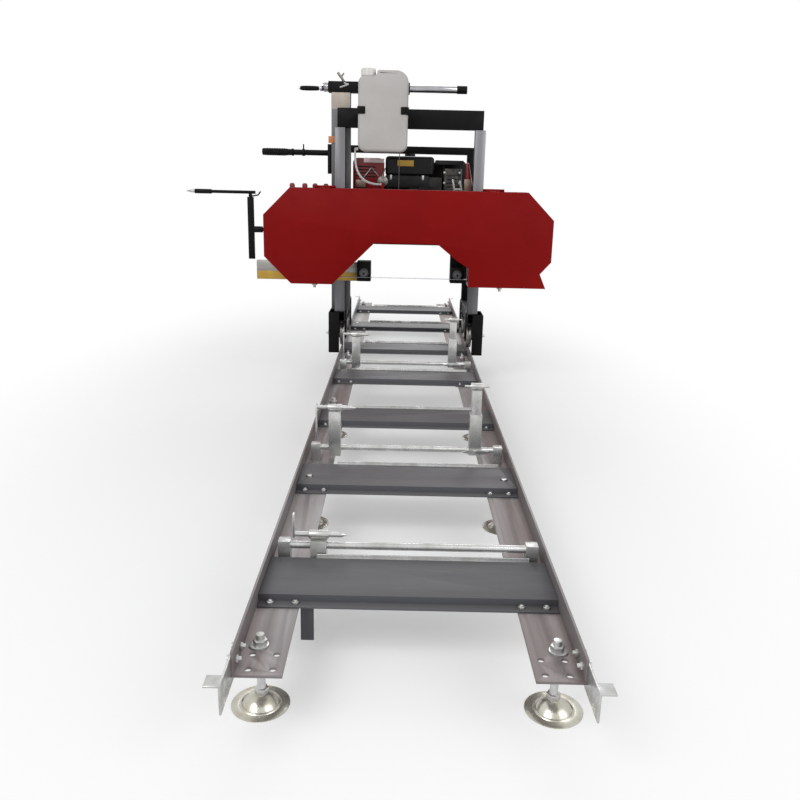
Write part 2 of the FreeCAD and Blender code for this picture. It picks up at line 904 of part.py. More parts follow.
def top_beam():
    """The front cross beam on the posts, with two hooks that hold the water tank."""
    half = S.mast_post / 2
    front = POST_Y - half
    zs = (above(S.post_top_above), above(S.post_top_above + S.top_beam_height))
    beam = pipe_box((out(S.top_beam_half, -1), out(S.top_beam_half)), (front, POST_Y + half), zs,
                    S.frame_wall, "x")
    low = zs[0] + (S.top_beam_height - S.tank_hook)
    hooks = []
    near = front - S.tank_depth - S.running_gap * 2
    for edge, side in ((out(S.tank_left, -1) - S.running_gap, -1), (out(S.tank_right, -1) + S.running_gap, 1)):
        outer = edge - S.frame_wall if side < 0 else edge + S.frame_wall
        arm_xs = (outer, edge) if side < 0 else (edge, outer)
        hooks.append(block(arm_xs, (near - S.frame_wall, front), (low, low + S.tank_hook)))
        lap_xs = (outer, outer + S.tank_hook_lap) if side < 0 else (outer - S.tank_hook_lap, outer)
        hooks.append(block(lap_xs, (near - S.frame_wall, near), (low, low + S.tank_hook)))
    return join([beam] + hooks)


def rear_frame():
    """Two rear posts with a cross beam, welded into one frame."""
    half = S.rear_post / 2
    y = SIDE_BACK - half
    top = above(S.rear_top_above)
    posts = []
    for side in (-1, 1):
        x = out(S.post_out, side)
        posts.append(pipe_box((x - half, x + half), (y - half, y + half), (SIDE_TOP, top), S.frame_wall, "z"))
    inner = S.post_out - half
    beam = block((out(inner, -1), out(inner)), (y - half, y + half), (top - S.rear_beam_height, top))
    return join(posts + [beam])


MAST_Y = POST_Y + S.mast_post / 2 + S.sleeve_wall + S.slide_gap + S.mast_gap + S.mast_depth / 2
MAST_TOP = above(S.mast_top_above)
SHAFT_Z = MAST_TOP + S.hoist_size / 2


def lift_mast():
    """The plated box column behind the left post that carries the hoist."""
    x = out(S.post_out, -1)
    half = S.mast_width / 2
    body = profile("XY", [(0, 0), (S.mast_width, 0), (S.mast_width, S.mast_depth), (0, S.mast_depth)],
                   MAST_TOP - SIDE_TOP, (x - half, MAST_Y - S.mast_depth / 2, SIDE_TOP))
    wall = S.frame_wall
    room = block((x - half + wall, x + half - wall), (MAST_Y - S.mast_depth / 2 + wall, MAST_Y + S.mast_depth / 2 - wall),
                 (SIDE_TOP - S.overrun, MAST_TOP - wall))
    return cut(rounded(body, S.frame_wall, lambda way, middle: abs(way.z) > STEEP), [room])


def hoist_beam():
    """A square tube across the top of the mast, with end plates that carry the hoist shaft."""
    half = S.hoist_size / 2
    xs = (out(S.hoist_left, -1), out(S.hoist_right, -1))
    tube = pipe_box(xs, (MAST_Y - half, MAST_Y + half), (SHAFT_Z - half, SHAFT_Z + half), S.frame_wall, "x")
    plates = []
    for low in (xs[0], xs[1] - S.frame_wall * 2):
        plates.append(block((low, low + S.frame_wall * 2), (MAST_Y - half, MAST_Y + half),
                            (SHAFT_Z - half, SHAFT_Z + half)))
    bore = rod(S.shaft_radius + S.running_gap, span(xs[0], xs[1]) + S.overrun * 2,
               (xs[0] - S.overrun, MAST_Y, SHAFT_Z), "x")
    slot_half = S.drum_length / 2
    x = out(S.cable_out, -1)
    slot = block((x - slot_half, x + slot_half), (MAST_Y - half - S.overrun, MAST_Y),
                 (SHAFT_Z - half - S.overrun, SHAFT_Z + S.shaft_radius))
    return cut(join([tube] + plates), [bore, slot])


CRANK_Y = MAST_Y - S.crank_arm
CRANK_Z = SHAFT_Z - S.crank_drop


def hoist_shaft():
    """The hoist's cross shaft with its rope drum, end cap and crank arm."""
    left = out(S.shaft_left, -1)
    bar = rod(S.shaft_radius, span(left, out(S.shaft_right)), (left, MAST_Y, SHAFT_Z), "x")
    cap = rod(S.shaft_cap_radius, S.shaft_cap_length, (out(S.shaft_right), MAST_Y, SHAFT_Z), "x")
    x = out(S.cable_out, -1)
    drum = rod(S.drum_radius, S.drum_length, (x - S.drum_length / 2, MAST_Y, SHAFT_Z), "x")
    plate = S.crank_arm_plate
    half = S.crank_arm_width / 2
    hub = rod(S.shaft_radius + S.frame_wall, plate, (left - plate, MAST_Y, SHAFT_Z), "x")
    arm = profile("YZ", [(0, 0), (S.crank_arm, S.crank_drop), (S.crank_arm, S.crank_drop + half * 2), (0, half * 2)],
                  plate, (left - plate, CRANK_Y, CRANK_Z - half))
    eye = rod(half, plate, (left - plate, CRANK_Y, CRANK_Z), "x")
    pin = rod(S.grip_radius / 2, S.grip_length + S.grip_gap * 2,
              (left - plate, CRANK_Y, CRANK_Z), "-x")
    return join([bar, cap, drum, hub, arm, eye, pin])


def hoist_grip():
    """The crank's turning handle, on its pin."""
    start = out(S.shaft_left, -1) - S.crank_arm_plate - S.grip_gap
    grip = rod(S.grip_radius, S.grip_length, (start, CRANK_Y, CRANK_Z), "-x")
    bore = rod(S.grip_radius / 2 + S.running_gap, S.grip_length + S.overrun * 2,
               (start + S.overrun, CRANK_Y, CRANK_Z), "-x")
    return cut(grip, [bore])


PUSH_Z = above(S.push_above)


def push_handle():
    """A round bar welded to the mast that the carriage is pushed by."""
    start = out(S.post_out + S.mast_width / 2, -1)
    return rod(S.push_radius, S.push_length + S.push_grip_length, (start, MAST_Y, PUSH_Z), "-x")


def push_grip():
    """The rubber grip over the handle's end, with a flared collar."""
    start = out(S.post_out + S.mast_width / 2 + S.push_length, -1)
    grip = join([
        rod(S.push_grip_radius, S.push_grip_length + S.frame_wall, (start, MAST_Y, PUSH_Z), "-x"),
        cone(S.push_radius + S.cover_wall, S.push_grip_radius, S.push_grip_length / 4,
             (start + S.push_grip_length / 4, MAST_Y, PUSH_Z), "-x"),
    ])
    bore = rod(S.push_radius, S.push_grip_length * 2, (start + S.push_grip_length, MAST_Y, PUSH_Z), "-x")
    return cut(grip, [bore])


def throttle_lever():
    """A clamp ring's lever on the push handle: a ring with a short thumb lever."""
    x = out(S.throttle_out, -1)
    half = S.throttle_width / 2
    ring = rod(S.push_radius + S.running_gap + S.frame_wall, S.throttle_width, (x - half, MAST_Y, PUSH_Z), "x")
    thumb = block((x - half / 2, x + half / 2), (MAST_Y - S.frame_wall, MAST_Y + S.frame_wall),
                  (PUSH_Z, PUSH_Z + S.throttle_length))
    bore = rod(S.push_radius + S.running_gap, S.throttle_width + S.overrun * 2,
               (x - half - S.overrun, MAST_Y, PUSH_Z), "x")
    return cut(join([ring, thumb]), [bore])


TANK_FRONT = POST_Y - S.mast_post / 2 - S.tank_depth - S.running_gap
TANK_CAP_X = out(S.tank_left - S.cap_from_side, -1)
TANK_CAP_Y = TANK_FRONT + S.tank_depth / 2


def water_tank():
    """A blow-moulded can with round corners and a filler neck."""
    wide = S.tank_left - S.tank_right
    body = profile("XY", [(0, 0), (wide, 0), (wide, S.tank_depth), (0, S.tank_depth)], S.tank_height,
                   (out(S.tank_left, -1), TANK_FRONT, above(S.tank_above)))
    soft = rounded(body, S.tank_round, lambda way, middle: abs(way.z) > STEEP or abs(way.y) > STEEP)
    top = above(S.tank_above + S.tank_height)
    neck = rod(S.tank_neck, S.tank_neck_high + S.overrun, (TANK_CAP_X, TANK_CAP_Y, top - S.overrun))
    tap_z = above(S.tank_above) + S.tank_round + S.barb_radius
    tap = rod(S.barb_post, S.barb_length, (out(S.tank_left, -1) + S.overrun, HOSE_Y, tap_z), "-x")
    down = rod(S.barb_radius, tap_z - HOSE_TOP + S.barb_length, (HOSE_X, HOSE_Y, HOSE_TOP - S.barb_length))
    collar = rod(S.barb_post, tap_z - HOSE_TOP + S.barb_radius, (HOSE_X, HOSE_Y, HOSE_TOP))
    return join([soft, neck, tap, down, collar])


HOSE_X = out(S.tank_left, -1) - S.barb_length + S.overrun * 2
HOSE_Y = TANK_FRONT + S.hose_in
HOSE_TOP = above(S.tank_above)


def tank_cap():
    """The filler's screw cap, hollow over the neck."""
    low = above(S.tank_above + S.tank_height) + S.running_gap
    cap = rod(S.tank_cap_radius, S.tank_cap_height, (TANK_CAP_X, TANK_CAP_Y, low))
    room = rod(S.tank_neck + S.running_gap, S.tank_neck_high + S.overrun, (TANK_CAP_X, TANK_CAP_Y, low - S.overrun))
    return cut(cap, [room])


def wheel(side, end):
    """A grooved steel wheel that straddles the rail's leg."""
    half, groove = S.wheel_width / 2, S.wheel_groove / 2
    rim = S.wheel_radius + S.wheel_flange
    bore = S.axle_radius + S.running_gap
    outline = [(bore, -half), (rim, -half), (rim, -groove), (S.wheel_radius, -groove),
               (S.wheel_radius, groove), (rim, groove), (rim, half), (bore, half)]
    return turned(outline, (out(WHEEL_OUT, side), WHEEL_YS[end], AXLE_Z), "x")


def wheel_shield(side, end):
    """A bent plate that stands in front of and outside a wheel."""
    wide, depth, wall = S.shield_width, S.shield_depth, S.frame_wall
    web = S.shield_in + S.shield_width - S.post_out - S.side_width / 2
    low = above(-S.shield_drop)
    high = S.shield_high + S.shield_drop
    outline = [(0, 0), (wide, 0), (wide, depth), (wide - web, depth), (wide - web, depth - wall),
               (wide - wall, depth - wall), (wide - wall, wall), (0, wall)]
    outline = [(a if side > 0 or not isinstance(a, Size) else -a, b) for a, b in outline]
    outline = [(a, b if end == "front" or not isinstance(b, Size) else -b) for a, b in outline]
    y = S.side_front - wall if end == "front" else SIDE_BACK + wall
    plate = profile("XY", outline, high, (out(S.shield_in, side), y, low))
    start = out(S.shield_in, side)
    hole = rod(S.axle_radius + S.running_gap, wide + S.overrun, (start, WHEEL_YS[end], AXLE_Z), "x" if side > 0 else "-x")
    return cut(plate, [hole])


def wheel_axle(side, end):
    """The axle bolt with its head outside the shield, a spacer tube and a nut inside."""
    y = WHEEL_YS[end]
    way = "x" if side > 0 else "-x"
    inner = S.post_out - S.side_width / 2 - S.fork_plate - S.axle_nut_height
    outer = S.shield_in + S.shield_width
    bar = rod(S.axle_radius, outer + S.axle_head_height * 2 - inner, (out(inner, side), y, AXLE_Z), way)
    head = hexagon(S.axle_head, S.axle_head_height, (out(outer, side), y, AXLE_Z), way)
    nut = hexagon(S.axle_head, S.axle_nut_height, (out(inner, side), y, AXLE_Z), way)
    gap = WHEEL_OUT + S.wheel_width / 2 + S.running_gap * 2
    spacer = rod(S.axle_head - S.frame_wall, outer - S.frame_wall - gap, (out(gap, side), y, AXLE_Z), way)
    return join([bar, head, nut, spacer])


def lift_cable():
    """The wire rope from the drum to the lug on the head."""
    top = SHAFT_Z
    x, y = out(S.cable_out, -1), CABLE_Y
    return rod(S.cable_radius, top - LUG_TOP, (x, y, LUG_TOP))


CABLE_Y = MAST_Y - S.drum_radius - S.cable_radius - S.running_gap
LUG_TOP = SHELF_TOP + S.lug_height


def build_carriage():
    node("side_frame_left", side_frame(-1))
    node("side_frame_right", side_frame(1))
    node("guide_post_left", guide_post(-1))
    node("guide_post_right", guide_post(1))
    node("top_beam", top_beam())
    node("rear_frame", rear_frame())
    node("lift_mast", lift_mast())
    node("hoist_beam", hoist_beam())
    node("hoist_shaft", hoist_shaft())
    node("hoist_grip", hoist_grip())
    node("push_handle", push_handle())
    node("push_grip", push_grip())
    node("throttle_lever", throttle_lever())
    node("water_tank", water_tank())
    node("tank_cap", tank_cap())
    places = [(side, end) for side in (-1, 1) for end in ("front", "rear")]
    for side, end in places:
        node(f"wheel_{end}_{'left' if side < 0 else 'right'}", wheel(side, end))
    node("wheel_shields", group([wheel_shield(side, end) for side, end in places]))
    node("wheel_axles", group([wheel_axle(side, end) for side, end in places]))
    node("lift_cable", lift_cable())


# Saw head

GUARD_FRONT = S.head_setback_length + S.door_depth
GUARD_BACK = GUARD_FRONT + S.guard_depth
BEAM_BACK = GUARD_BACK + S.beam_depth
LOBE_LEFT = S.blade_wheel_out - S.lobe_left_in
LOBE_RIGHT = S.blade_wheel_out - S.lobe_right_in
BEAM_HALF = S.blade_wheel_out + S.beam_over
HUB_IN = COVER_HALF + S.tension_hub_gap
ARM_LEFT = S.blade_wheel_out + S.arm_over
BLADE_Y = GUARD_FRONT + S.blade_wheel_width / 2 + S.overrun
BLADE_Z = WHEEL_Z - S.blade_wheel_radius - S.running_gap - S.blade_thick


def cover_outline():
    """The guard's outline seen from the front: two lobes round the wheels and an arch over the log."""
    half, height, corner = COVER_HALF, COVER_HEIGHT, S.cover_corner
    chute = S.blade_wheel_out + S.chute_over
    return [(-half + corner, 0), (-LOBE_LEFT, 0), (-S.arch_left, S.arch_height), (S.arch_right, S.arch_height),
            (LOBE_RIGHT - S.step_in, S.step_height), (LOBE_RIGHT, S.lobe_edge), (LOBE_RIGHT, 0), (chute, 0),
            (chute - S.chute_side, S.chute_height), (half, corner), (half, height - corner), (half - corner, height),
            (-half + corner, height), (-half, height - corner), (-half, corner)]


def cover_pan(front, depth, open_back):
    """A folded pan on the cover's outline, open at one face."""
    body = profile("XZ", cover_outline(), depth, (CENTRE, front, COVER_Z))
    doc.recompute()
    face_y = number(front) + (number(depth) if open_back else 0)
    open_faces = []
    for index, face in enumerate(body.Shape.Faces, 1):
        box = face.BoundBox
        if box.YLength < number(S.cover_wall) and abs(box.YMin - face_y) < number(S.cover_wall):
            open_faces.append(f"Face{index}")
    pan = new("Part::Thickness", "pan")
    pan.Faces = (body, open_faces)
    pan.Join = 2
    pan.Value = -SIZES["cover_wall"]
    bind(pan, "Value", -S.cover_wall)
    return pan


HINGE_OUT = S.blade_wheel_out - S.hinge_in
HINGE_OUTS = (-HINGE_OUT, HINGE_OUT)


def front_cover():
    """The hinged front cover: a shallow pan with two hinge barrels and two latch bolts."""
    pan = cover_pan(S.head_setback_length, S.door_depth - S.running_gap, True)
    y, z = GUARD_FRONT, COVER_TOP + S.hinge_radius + S.running_gap
    pieces = [pan]
    for place in HINGE_OUTS:
        start = CENTRE + place - S.hinge_length / 2
        pieces.append(rod(S.hinge_radius, S.hinge_length, (start, y, z), "x"))
        leaf = block((start, start + S.hinge_length), (y - S.hinge_radius * 2, y - S.running_gap),
                     (COVER_TOP - S.overrun, COVER_TOP + S.hinge_radius))
        pieces.append(leaf)
    holes = []
    for place in HINGE_OUTS:
        start = CENTRE + place - S.hinge_length
        holes.append(rod(S.hinge_pin + S.running_gap, S.hinge_length * 2, (start, y, z), "x"))
    for side in (-1, 1):
        x = out(S.blade_wheel_out - S.latch_in, side)
        stud_y = S.head_setback_length + S.door_depth / 2
        pieces.append(rod(S.latch_radius, S.latch_length + S.overrun, (x, stud_y, COVER_Z - S.latch_length)))
        pieces.append(hexagon(S.latch_radius * 2, S.latch_radius, (x, stud_y, COVER_Z - S.latch_radius)))
    return cut(join(pieces), holes)


def rear_guard():
    """The fixed rear pan, slotted for the blade and drilled for the wheel shafts."""
    pan = cover_pan(GUARD_FRONT, S.guard_depth, False)
    low, high = BLADE_Z - S.tooth_depth * 2, BLADE_Z + S.tooth_depth * 4
    slot = block((out(LOBE_LEFT + S.cover_corner / 4, -1), out(LOBE_RIGHT + S.cover_wall * 4)),
                 (GUARD_FRONT - S.overrun, BLADE_Y + S.blade_width), (low, high))
    holes = [slot]
    depth = S.guard_depth
    holes.append(rod(S.blade_wheel_hub, depth, (out(S.blade_wheel_out), GUARD_BACK - depth / 2, WHEEL_Z), "y"))
    wide = S.blade_wheel_hub
    x = out(S.blade_wheel_out, -1)
    holes.append(block((x - wide, x + wide + S.tension_travel), (GUARD_BACK - depth / 2, GUARD_BACK + S.overrun),
                       (WHEEL_Z - wide, WHEEL_Z + wide)))
    y, z = GUARD_FRONT, COVER_TOP + S.hinge_radius + S.running_gap
    pieces = [cut(pan, holes)]
    for place in HINGE_OUTS:
        middle = CENTRE + place
        reach = S.hinge_length / 2 + S.running_gap
        pin = rod(S.hinge_pin, S.hinge_length * 2, (middle - S.hinge_length, y, z), "x")
        pieces.append(pin)
        for start in (middle - reach - S.hinge_length / 2, middle + reach):
            pieces.append(rod(S.hinge_radius, S.hinge_length / 2, (start, y, z), "x"))
            pieces.append(block((start, start + S.hinge_length / 2), (y + S.running_gap, y + S.hinge_radius * 2),
                                (COVER_TOP - S.overrun, COVER_TOP + S.hinge_radius)))
    pieces.append(rod(S.barb_post, S.barb_rise + S.barb_post + S.overrun, (BARB_X, HOSE_Y, COVER_TOP - S.overrun)))
    pieces.append(rod(S.barb_radius, S.barb_length, (BARB_X, HOSE_Y, BARB_Z), "-x"))
    return join(pieces)


BARB_X = out(S.barb_out, -1)
BARB_Z = COVER_TOP + S.barb_rise


def head_beam():
    """The head's main tube with its two sleeves, the engine shelf and the guide hangers, welded together."""
    wall = S.beam_wall
    zs = (WHEEL_Z - S.beam_height / 2, WHEEL_Z + S.beam_height / 2)
    beam = pipe_box((out(BEAM_HALF, -1), out(BEAM_HALF)), (GUARD_BACK, BEAM_BACK), zs, wall, "x")
    plates = [beam]
    left = out(BEAM_HALF, -1)
    plates.append(block((left - wall, left), (GUARD_BACK, BEAM_BACK), zs))
    half = S.mast_post / 2 + S.slide_gap + S.sleeve_wall
    low = WHEEL_Z - S.sleeve_below
    high = low + S.sleeve_length
    for side in (-1, 1):
        x = out(S.post_out, side)
        plates.append(block((x - half, x + half), (POST_Y - half, POST_Y + half), (low, high)))
    shelf_zs = (SHELF_TOP - S.shelf_plate, SHELF_TOP)
    shelf_xs = (out(S.shelf_half, -1), out(S.shelf_half))
    plates.append(block(shelf_xs, (GUARD_BACK, GUARD_BACK + S.shelf_depth + S.beam_depth), shelf_zs))
    for side in (-1, 1):
        x = out(S.shelf_half, side)
        rib = (x, x + S.beam_wall) if side < 0 else (x - S.beam_wall, x)
        plates.append(block(rib, (GUARD_BACK, BEAM_BACK), (zs[0], shelf_zs[1])))
    hanger_x = out((ARM_LEFT + S.arm_right) / 2 - S.guide_length, -1)
    arm = arm_box(S.slide_gap + wall)
    plates.append(block((hanger_x, hanger_x + S.guide_length), arm[0], (arm[1][0], zs[0] + wall)))
    plates.append(rod(S.lug_radius, S.lug_height + S.overrun, (out(S.cable_out, -1), CABLE_Y, LUG_TOP - S.lug_height - S.overrun)))
    right_x = out(S.guide_right_out)
    plates.append(block((right_x, right_x + S.guide_length), (GUARD_BACK, GUARD_BACK + S.arm_depth),
                        (COVER_Z + S.guide_right_rise, zs[0] + wall)))
    holes = []
    gap = S.mast_post / 2 + S.slide_gap
    for side in (-1, 1):
        x = out(S.post_out, side)
        holes.append(block((x - gap, x + gap), (POST_Y - gap, POST_Y + gap), (low - S.overrun, high + S.overrun)))
    room = arm_box(S.slide_gap)
    across = (hanger_x - S.overrun, hanger_x + S.guide_length + S.overrun)
    holes.append(block(across, room[0], room[1]))
    holes.append(block(across, (room[0][0], room[0][0] + S.arm_strip_plate + S.slide_gap * 2),
                       (room[1][0] - S.arm_strip, room[1][0] + S.overrun)))
    belt_half = S.pulley_width / 2 + S.running_gap
    slot_left = out(S.shelf_half - S.belt_slot_length - S.guide_length / 2)
    holes.append(block((slot_left, slot_left + S.belt_slot_length), (MAST_Y - belt_half, MAST_Y + belt_half),
                       (shelf_zs[0] - S.overrun, shelf_zs[1] + S.overrun)))
    reach = S.beam_depth + S.overrun * 2
    holes.append(rod(S.shaft_size + S.running_gap, reach, (out(S.blade_wheel_out), GUARD_BACK - S.overrun, WHEEL_Z), "y"))
    x = out(S.blade_wheel_out, -1)
    slot = S.shaft_size * 2
    holes.append(block((x - slot, x + slot + S.tension_travel), (GUARD_BACK - S.overrun, GUARD_BACK + wall + S.overrun),
                       (WHEEL_Z - S.shaft_size - S.slide_gap, WHEEL_Z + S.shaft_size + S.slide_gap)))
    holes.append(rod(S.screw_radius + S.running_gap, wall * 4, (left - wall * 2, SCREW_Y, SCREW_Z), "x"))
    return cut(join(plates), holes)


def arm_box(gap):
    """The guide arm's place across the track and in height, grown by a gap."""
    front = GUARD_BACK + S.beam_wall + S.slide_gap * 2
    ys = (front - gap, front + S.arm_depth + gap)
    zs = (COVER_Z + S.arm_rise - gap, COVER_Z + S.arm_rise + S.arm_height + gap)
    return ys, zs


SCREW_Y = GUARD_BACK + S.beam_depth / 2
SCREW_Z = WHEEL_Z + S.screw_rise


def idler_slide():
    """The block in the main tube that carries the idler's shaft."""
    wall, gap = S.beam_wall, S.slide_gap
    x = out(S.blade_wheel_out, -1)
    half = S.slide_block / 2
    base = block((x - half, x + half), (GUARD_BACK + wall + gap, BEAM_BACK - wall - gap),
                 (WHEEL_Z - S.beam_height / 2 + wall + gap, WHEEL_Z + S.beam_height / 2 - wall - gap))
    start = BLADE_Y - S.blade_wheel_width / 2
    shaft = rod(S.shaft_size, GUARD_BACK + S.beam_depth / 2 - start, (x, start, WHEEL_Z), "y")
    bore = rod(S.screw_radius + S.running_gap, S.slide_block, (x - S.slide_block, SCREW_Y, SCREW_Z), "x")
    return cut(join([base, shaft]), [bore])


def blade_wheel(side, extra=()):
    """A band wheel with a rim, a thin web, a hub and round lightening holes."""
    half, web = S.blade_wheel_width / 2, S.blade_wheel_web / 2
    inner = S.blade_wheel_radius - S.blade_wheel_rim
    bore = S.shaft_size + S.running_gap if side < 0 else S.shaft_size
    outline = [(bore, -half), (S.blade_wheel_hub, -half), (S.blade_wheel_hub, -web), (inner, -web), (inner, -half),
               (S.blade_wheel_radius, -half), (S.blade_wheel_radius, half), (inner, half), (inner, web),
               (S.blade_wheel_hub, web), (S.blade_wheel_hub, half), (bore, half)]
    x = out(S.blade_wheel_out, side)
    body = turned(outline, (x, BLADE_Y, WHEEL_Z), "y")
    holes = []
    for index in range(RIM_HOLES):
        angle = 2 * math.pi * index / RIM_HOLES
        place = (x + S.blade_wheel_hole_out * math.sin(angle), BLADE_Y - half,
                 WHEEL_Z + S.blade_wheel_hole_out * math.cos(angle))
        holes.append(rod(S.blade_wheel_hole, S.blade_wheel_width, place, "y"))
    body = cut(body, holes)
    return join([body] + list(extra)) if extra else body


PULLEY_FRONT = MAST_Y - S.pulley_width / 2


def grooved_pulley(radius, x, z, bore):
    """A pulley with one belt groove."""
    half, groove = S.pulley_width / 2, S.belt_width / 2 + S.running_gap
    rim = radius + S.belt_thick - S.belt_sink
    outline = [(bore, -half), (rim, -half), (rim, -groove), (radius, -groove), (radius, groove), (rim, groove),
               (rim, half), (bore, half)]
    return turned(outline, (x, MAST_Y, z), "y")


def drive_wheel():
    """The driven band wheel, its shaft and the belt pulley keyed on the shaft's other end."""
    x = out(S.blade_wheel_out)
    start = BLADE_Y - S.blade_wheel_width / 2
    shaft = rod(S.shaft_size, PULLEY_FRONT + S.pulley_width - start, (x, start, WHEEL_Z), "y")
    return blade_wheel(1, [shaft, grooved_pulley(S.drive_pulley, x, WHEEL_Z, S.shaft_size)])


def blade_loop(grow):
    """The band's outline round both wheels, grown by a thickness."""
    radius = S.blade_wheel_radius + S.running_gap + grow
    return radius


def blade():
    """A closed band round both wheels, with teeth along its front edge."""
    rings = []
    for grow in (S.blade_thick, S.blade_thick * 0):
        radius = S.blade_wheel_radius + S.running_gap + grow
        pieces = [rod(radius, S.blade_width, (out(S.blade_wheel_out, side), BLADE_Y - S.blade_width / 2, WHEEL_Z), "y")
                  for side in (-1, 1)]
        pieces.append(block((out(S.blade_wheel_out, -1), out(S.blade_wheel_out)),
                            (BLADE_Y - S.blade_width / 2, BLADE_Y + S.blade_width / 2),
                            (WHEEL_Z - radius, WHEEL_Z + radius)))
        rings.append(join(pieces))
    return cut(rings[0], [rings[1]])


def tension_crank():
    """The blade tension screw with its cross bar and a long turning handle."""
    hub_in, hub_out = out(HUB_IN, -1), out(HUB_IN + S.tension_hub_length, -1)
    nose = out(S.blade_wheel_out, -1) - S.slide_block / 2 + S.tension_travel * 3
    screw = rod(S.screw_radius, span(hub_out, nose), (hub_out, SCREW_Y, SCREW_Z), "x")
    hub = rod(S.tension_hub, span(hub_out, hub_in), (hub_out, SCREW_Y, SCREW_Z), "x")
    half, plate = S.tension_arm / 2, S.tension_arm_plate
    bar_x = hub_out - S.tension_arm
    bar = block((bar_x, hub_out), (SCREW_Y - plate / 2, SCREW_Y + plate / 2),
                (SCREW_Z - S.tension_arm_down, SCREW_Z + S.tension_arm_up))
    link = block((bar_x + half / 2, hub_out - half / 2), (SCREW_Y - plate / 2, SCREW_Y + plate / 2),
                 (SCREW_Z + S.tension_arm_up - S.overrun, SCREW_Z + S.tension_arm_up + S.handle_link))
    z = SCREW_Z + S.tension_arm_up + S.handle_link
    tip = out(S.handle_reach, -1)
    reach = span(tip, hub_out + S.handle_over) - S.handle_tip
    body = rod(S.handle_radius, reach, (tip + S.handle_tip, SCREW_Y, z), "x")
    point = cone(S.handle_radius, S.handle_radius / 8, S.handle_tip, (tip + S.handle_tip, SCREW_Y, z), "-x")
    sleeve = rod(S.handle_sleeve, S.handle_sleeve_length, (tip + S.handle_tip * 1.5, SCREW_Y, z), "x")
    return join([screw, hub, bar, link, body, point, sleeve])


def guide_arm():
    """The sliding arm: a square tube with a scale plate below its front edge."""
    ys, zs = arm_box(S.slide_gap * 0)
    xs = (out(ARM_LEFT, -1), out(S.arm_right, -1))
    tube = pipe_box(xs, ys, zs, S.frame_wall, "x")
    strip = block(xs, (ys[0], ys[0] + S.arm_strip_plate), (zs[0] - S.arm_strip, zs[0]))
    return join([tube, strip])


ROLLER_Z = BLADE_Z + S.blade_thick + S.running_gap + S.roller_radius


def guide_block(x, rise):
    """A block with the pin that the roller turns on and a jaw under the blade's back edge."""
    back = BLADE_Y + S.blade_width / 2 + S.running_gap + S.roller_flange_width + S.running_gap
    rear = GUARD_BACK + S.arm_depth
    xs = (x, x + S.guide_length)
    base = block(xs, (back + S.roller_flange_width, rear), (COVER_Z + S.guide_low_rise, COVER_Z + rise))
    middle = x + S.guide_length / 2
    pin = rod(S.roller_pin, back + S.roller_flange_width - BLADE_Y + S.blade_width / 2,
              (middle, BLADE_Y - S.blade_width / 2, ROLLER_Z), "y")
    return join([base, pin])


def guide_roller(x):
    """A flanged roller that bears on the blade's back and top."""
    start = BLADE_Y - S.blade_width / 2 + S.running_gap
    edge = BLADE_Y + S.blade_width / 2 + S.running_gap
    bore = S.roller_pin + S.running_gap
    long_ = edge - start
    outline = [(bore, 0), (S.roller_radius, 0), (S.roller_radius, long_), (S.roller_flange, long_),
               (S.roller_flange, long_ + S.roller_flange_width), (bore, long_ + S.roller_flange_width)]
    return turned(outline, (x + S.guide_length / 2, start, ROLLER_Z), "y")


def build_head():
    node("head_beam", head_beam())
    node("rear_guard", rear_guard())
    node("front_cover", front_cover())
    node("drive_wheel", drive_wheel())
    node("idler_wheel", blade_wheel(-1))
    node("idler_slide", idler_slide())
    node("tension_crank", tension_crank())
    node("blade", blade())
    node("guide_arm", guide_arm())
    left_x, right_x = out(S.arm_right, -1), out(S.guide_right_out)
    node("guide_block_left", guide_block(left_x, S.guide_left_rise))
    node("guide_block_right", guide_block(right_x, S.guide_right_rise))
    node("guide_roller_left", guide_roller(left_x))
    node("guide_roller_right", guide_roller(right_x))


# Engine

CRANK_X = out(S.crank_out)
CRANKCASE_HEIGHT = S.crank_rise + S.crankcase_over
CRANKSHAFT_Z = SHELF_TOP + S.crank_rise


def engine_block():
    """The crankcase, its shaft and the finned cylinder that leans to the left."""
    half = S.crankcase_width / 2
    xs = (CRANK_X - half, CRANK_X + half)
    ys = (S.engine_front, S.engine_front + S.crankcase_depth)
    case = block(xs, ys, (SHELF_TOP, SHELF_TOP + CRANKCASE_HEIGHT))
    boss = rod(S.crank_boss, S.pulley_gap, (CRANK_X, S.engine_front - S.pulley_gap, CRANKSHAFT_Z), "y")
    low = SHELF_TOP + S.cylinder_low
    fins_y = (S.engine_front + S.fin_depth, S.engine_front + S.fin_depth + S.cylinder_depth)
    core = block((xs[0] - S.cylinder_length, xs[0]), (fins_y[0] + S.fin_depth, fins_y[1] - S.fin_depth),
                 (low + S.fin_depth, low + S.cylinder_height - S.fin_depth))
    first = block((xs[0] - S.cylinder_length, xs[0] - S.cylinder_length + S.fin_plate), fins_y,
                  (low, low + S.cylinder_height))
    fins = [first] + [copy(first, (S.fin_pitch * index, 0, 0)) for index in range(1, FIN_COUNT)]
    return join([case, boss, core] + fins)


